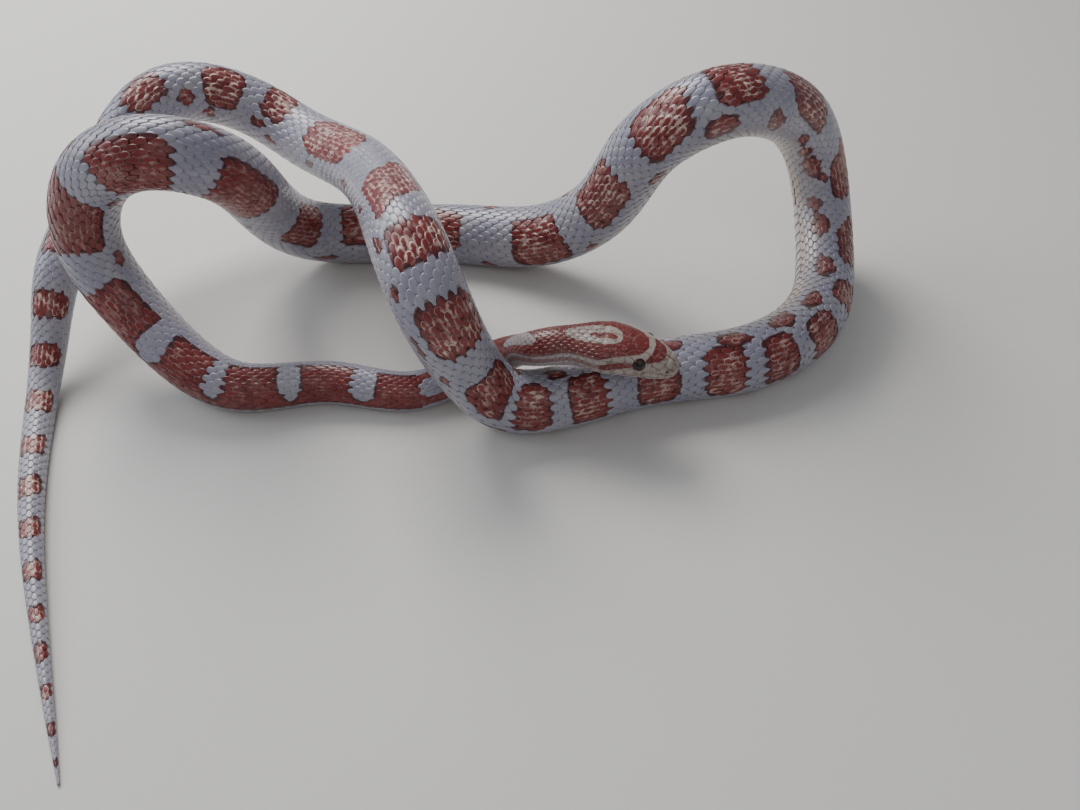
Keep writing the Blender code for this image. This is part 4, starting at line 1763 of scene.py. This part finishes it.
seats, seen = (belly_s, belly_angle), (belly_s, np.full(len(belly_s), 180.0))
lay("belly_plates", belly_plate, plate_material, "scaled_skin", seats, belly_arc, seen)
for helper in (sheet, keeled_scale, belly_plate):
    bpy.data.objects.remove(helper)
print(len(dorsal_s), "scales and", len(belly_s), "plates")

# %% [markdown]
# ## The eyes
#
# Each eye is a smooth ball with a round pupil and a thin dark red iris. In the animal a clear
# scale covers it, so it shines more than the skin. The `gaze` attribute holds how closely a
# corner of the ball faces the way the eye looks, and the material turns that into rings.

# %% The eye's material
IRIS_EDGE, PUPIL_EDGE = 0.76, 0.87
# Where each colour begins, from the back of the ball to the pupil, and its linear value
EYE_COLOURS = (
    (0.0, (0.02, 0.008, 0.008)),
    (IRIS_EDGE - 0.02, (0.03, 0.01, 0.01)),
    (IRIS_EDGE + 0.02, (0.07, 0.016, 0.01)),
    (PUPIL_EDGE - 0.015, (0.045, 0.01, 0.007)),
    (PUPIL_EDGE, (0.003, 0.003, 0.004)),
)
EYE_ROUGHNESS, EYE_SPECULAR = 0.08, 0.35
EYE_COAT, EYE_COAT_ROUGHNESS = 0.3, 0.03


def eye_material():
    kit = MaterialKit("eye")
    ramp = kit.add("ShaderNodeValToRGB", {"Fac": kit.value_of("gaze")})
    elements = ramp.color_ramp.elements
    while len(elements) < len(EYE_COLOURS):
        elements.new(0.5)
    for element, (position, colour) in zip(elements, EYE_COLOURS):
        element.position = position
        element.color = (*colour, 1)
    finish = {
        "Base Color": ramp.outputs["Color"],
        "Roughness": EYE_ROUGHNESS,
        "Specular IOR Level": EYE_SPECULAR,
        "Coat Weight": EYE_COAT,
        "Coat Roughness": EYE_COAT_ROUGHNESS,
    }
    kit.fill(kit.shader, finish)
    return kit.material


eye_look = eye_material()
print(len(EYE_COLOURS), "colours in the eye")

# %% Make the eyes
EYE_SEGMENTS, EYE_ROWS = 48, 24


def ball_directions(gaze):
    """Corners of a round ball of radius 1, from the way it looks to its back."""
    x_axis = unit(np.cross((0.0, 0.0, 1.0), gaze))
    y_axis = np.cross(gaze, x_axis)
    directions = [gaze]
    for row in range(1, EYE_ROWS):
        tilt = math.pi * row / EYE_ROWS
        for k in range(EYE_SEGMENTS):
            turn = 2 * math.pi * k / EYE_SEGMENTS
            flat = x_axis * math.cos(turn) + y_axis * math.sin(turn)
            directions.append(gaze * math.cos(tilt) + flat * math.sin(tilt))
    return np.array([*directions, -gaze])


def ball_faces():
    last = 1 + (EYE_ROWS - 1) * EYE_SEGMENTS
    faces = []
    for k in range(EYE_SEGMENTS):
        n = (k + 1) % EYE_SEGMENTS
        faces += [(0, 1 + k, 1 + n), (last, last - EYE_SEGMENTS + n, last - EYE_SEGMENTS + k)]
        for a in range(1, last - EYE_SEGMENTS, EYE_SEGMENTS):
            b = a + EYE_SEGMENTS
            faces.append((a + k, b + k, b + n, a + n))
    return faces


for node_name in ("eye_left", "eye_right"):
    low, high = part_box(node_name)
    solid_middle = np.array((low + high) / 2) / MM
    centre, gaze = min(
        (eye_frame(side) for side in (-1, 1)),
        key=lambda eye: np.linalg.norm(eye[0] - solid_middle),
    )
    directions = ball_directions(gaze)
    ball_mesh = make_mesh(node_name + "_ball", centre + directions * EYE_RADIUS, ball_faces())
    put_values(ball_mesh, "gaze", np.clip(directions @ gaze, 0, 1))
    ball_mesh.shade_smooth()
    ball_mesh.materials.append(eye_look)
    ball = add_object(node_name + "_ball", ball_mesh)
    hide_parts(node_name)
    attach(ball, "root")
    off_solid = np.linalg.norm(centre - solid_middle)
    print(node_name, "at", np.round(centre, 1), f"mm, {off_solid:.2f} mm off the solid's middle")

# %% [markdown]
# ## Floor, light and camera
#
# The model lies on a plain pale floor in soft light: one wide lamp high behind it to the left,
# a cooler one from the left and a weak fill from the viewer's side, with a light grey surround.
# The first leaves glints along the tops of the loops, as a window would. The camera
# looks down at 46 degrees below the horizon from 225 mm above the floor.

# %% Lay the floor
FLOOR_REACH = 4000
FLOOR_COLOUR, FLOOR_ROUGHNESS = (0.72, 0.7, 0.67, 1), 0.6
around = [(x * FLOOR_REACH, y * FLOOR_REACH, 0) for x, y in ((-1, -1), (1, -1), (1, 1), (-1, 1))]
floor = add_object("floor", make_mesh("floor", around, [(0, 1, 2, 3)]))
floor_kit = MaterialKit("floor")
floor_kit.fill(floor_kit.shader, {"Base Color": FLOOR_COLOUR, "Roughness": FLOOR_ROUGHNESS})
floor.data.materials.append(floor_kit.material)
print("floor", 2 * FLOOR_REACH * MM, "m wide")

# %% Light it softly
# Each lamp: name, place in metres, size, power in watts, colour
LAMPS = (
    ("window", (-0.4, 0.75, 0.85), 0.6, 12.5, (1.0, 0.98, 0.95)),
    ("left_sky", (-0.85, 0.25, 0.55), 0.7, 4.5, (0.85, 0.92, 1.0)),
    ("front_fill", (0.2, -0.8, 0.8), 1.0, 1.8, (1.0, 0.96, 0.92)),
)
LAMPS_AIM = (0.0, 0.03, 0.03)
SURROUND_COLOUR, SURROUND_STRENGTH = (0.78, 0.82, 0.88, 1), 0.29
for name, where, size, power, colour in LAMPS:
    lamp = bpy.data.lights.new(name, "AREA")
    lamp.size, lamp.energy, lamp.color = size, power, colour
    lamp_object = add_object(name, lamp)
    lamp_object.location = where
    x, y, z = np.array(LAMPS_AIM) - np.array(where)
    tilt, turn = math.atan2(math.hypot(x, y), -z), math.atan2(y, x)
    lamp_object.rotation_euler = (tilt, 0, turn - math.pi / 2)

world = bpy.data.worlds.new("surround")
bpy.context.scene.world = world
world.use_nodes = True
surround = {"Color": SURROUND_COLOUR, "Strength": SURROUND_STRENGTH}
NodeKit(world.node_tree).fill(world.node_tree.nodes["Background"], surround)
print(len(LAMPS), "lamps of", sum(lamp[3] for lamp in LAMPS), "watts together")

# %% Set the camera
CAMERA_HEIGHT, CAMERA_TILT, CAMERA_LENS = 225.0, 44.0, 28.6
SENSOR_WIDTH, NEAREST = 36.0, 0.005
camera_data = bpy.data.cameras.new("camera")
camera_data.lens = CAMERA_LENS
camera_data.sensor_width = SENSOR_WIDTH
camera_data.clip_start = NEAREST
camera = add_object("camera", camera_data)
camera.location = np.array((-FOOTPRINT_MIDDLE[0], -FOOTPRINT_MIDDLE[1], CAMERA_HEIGHT)) * MM
camera.rotation_euler = (math.radians(CAMERA_TILT), 0, 0)
bpy.context.scene.camera = camera
print("camera at", np.round(camera.location, 3), "m")
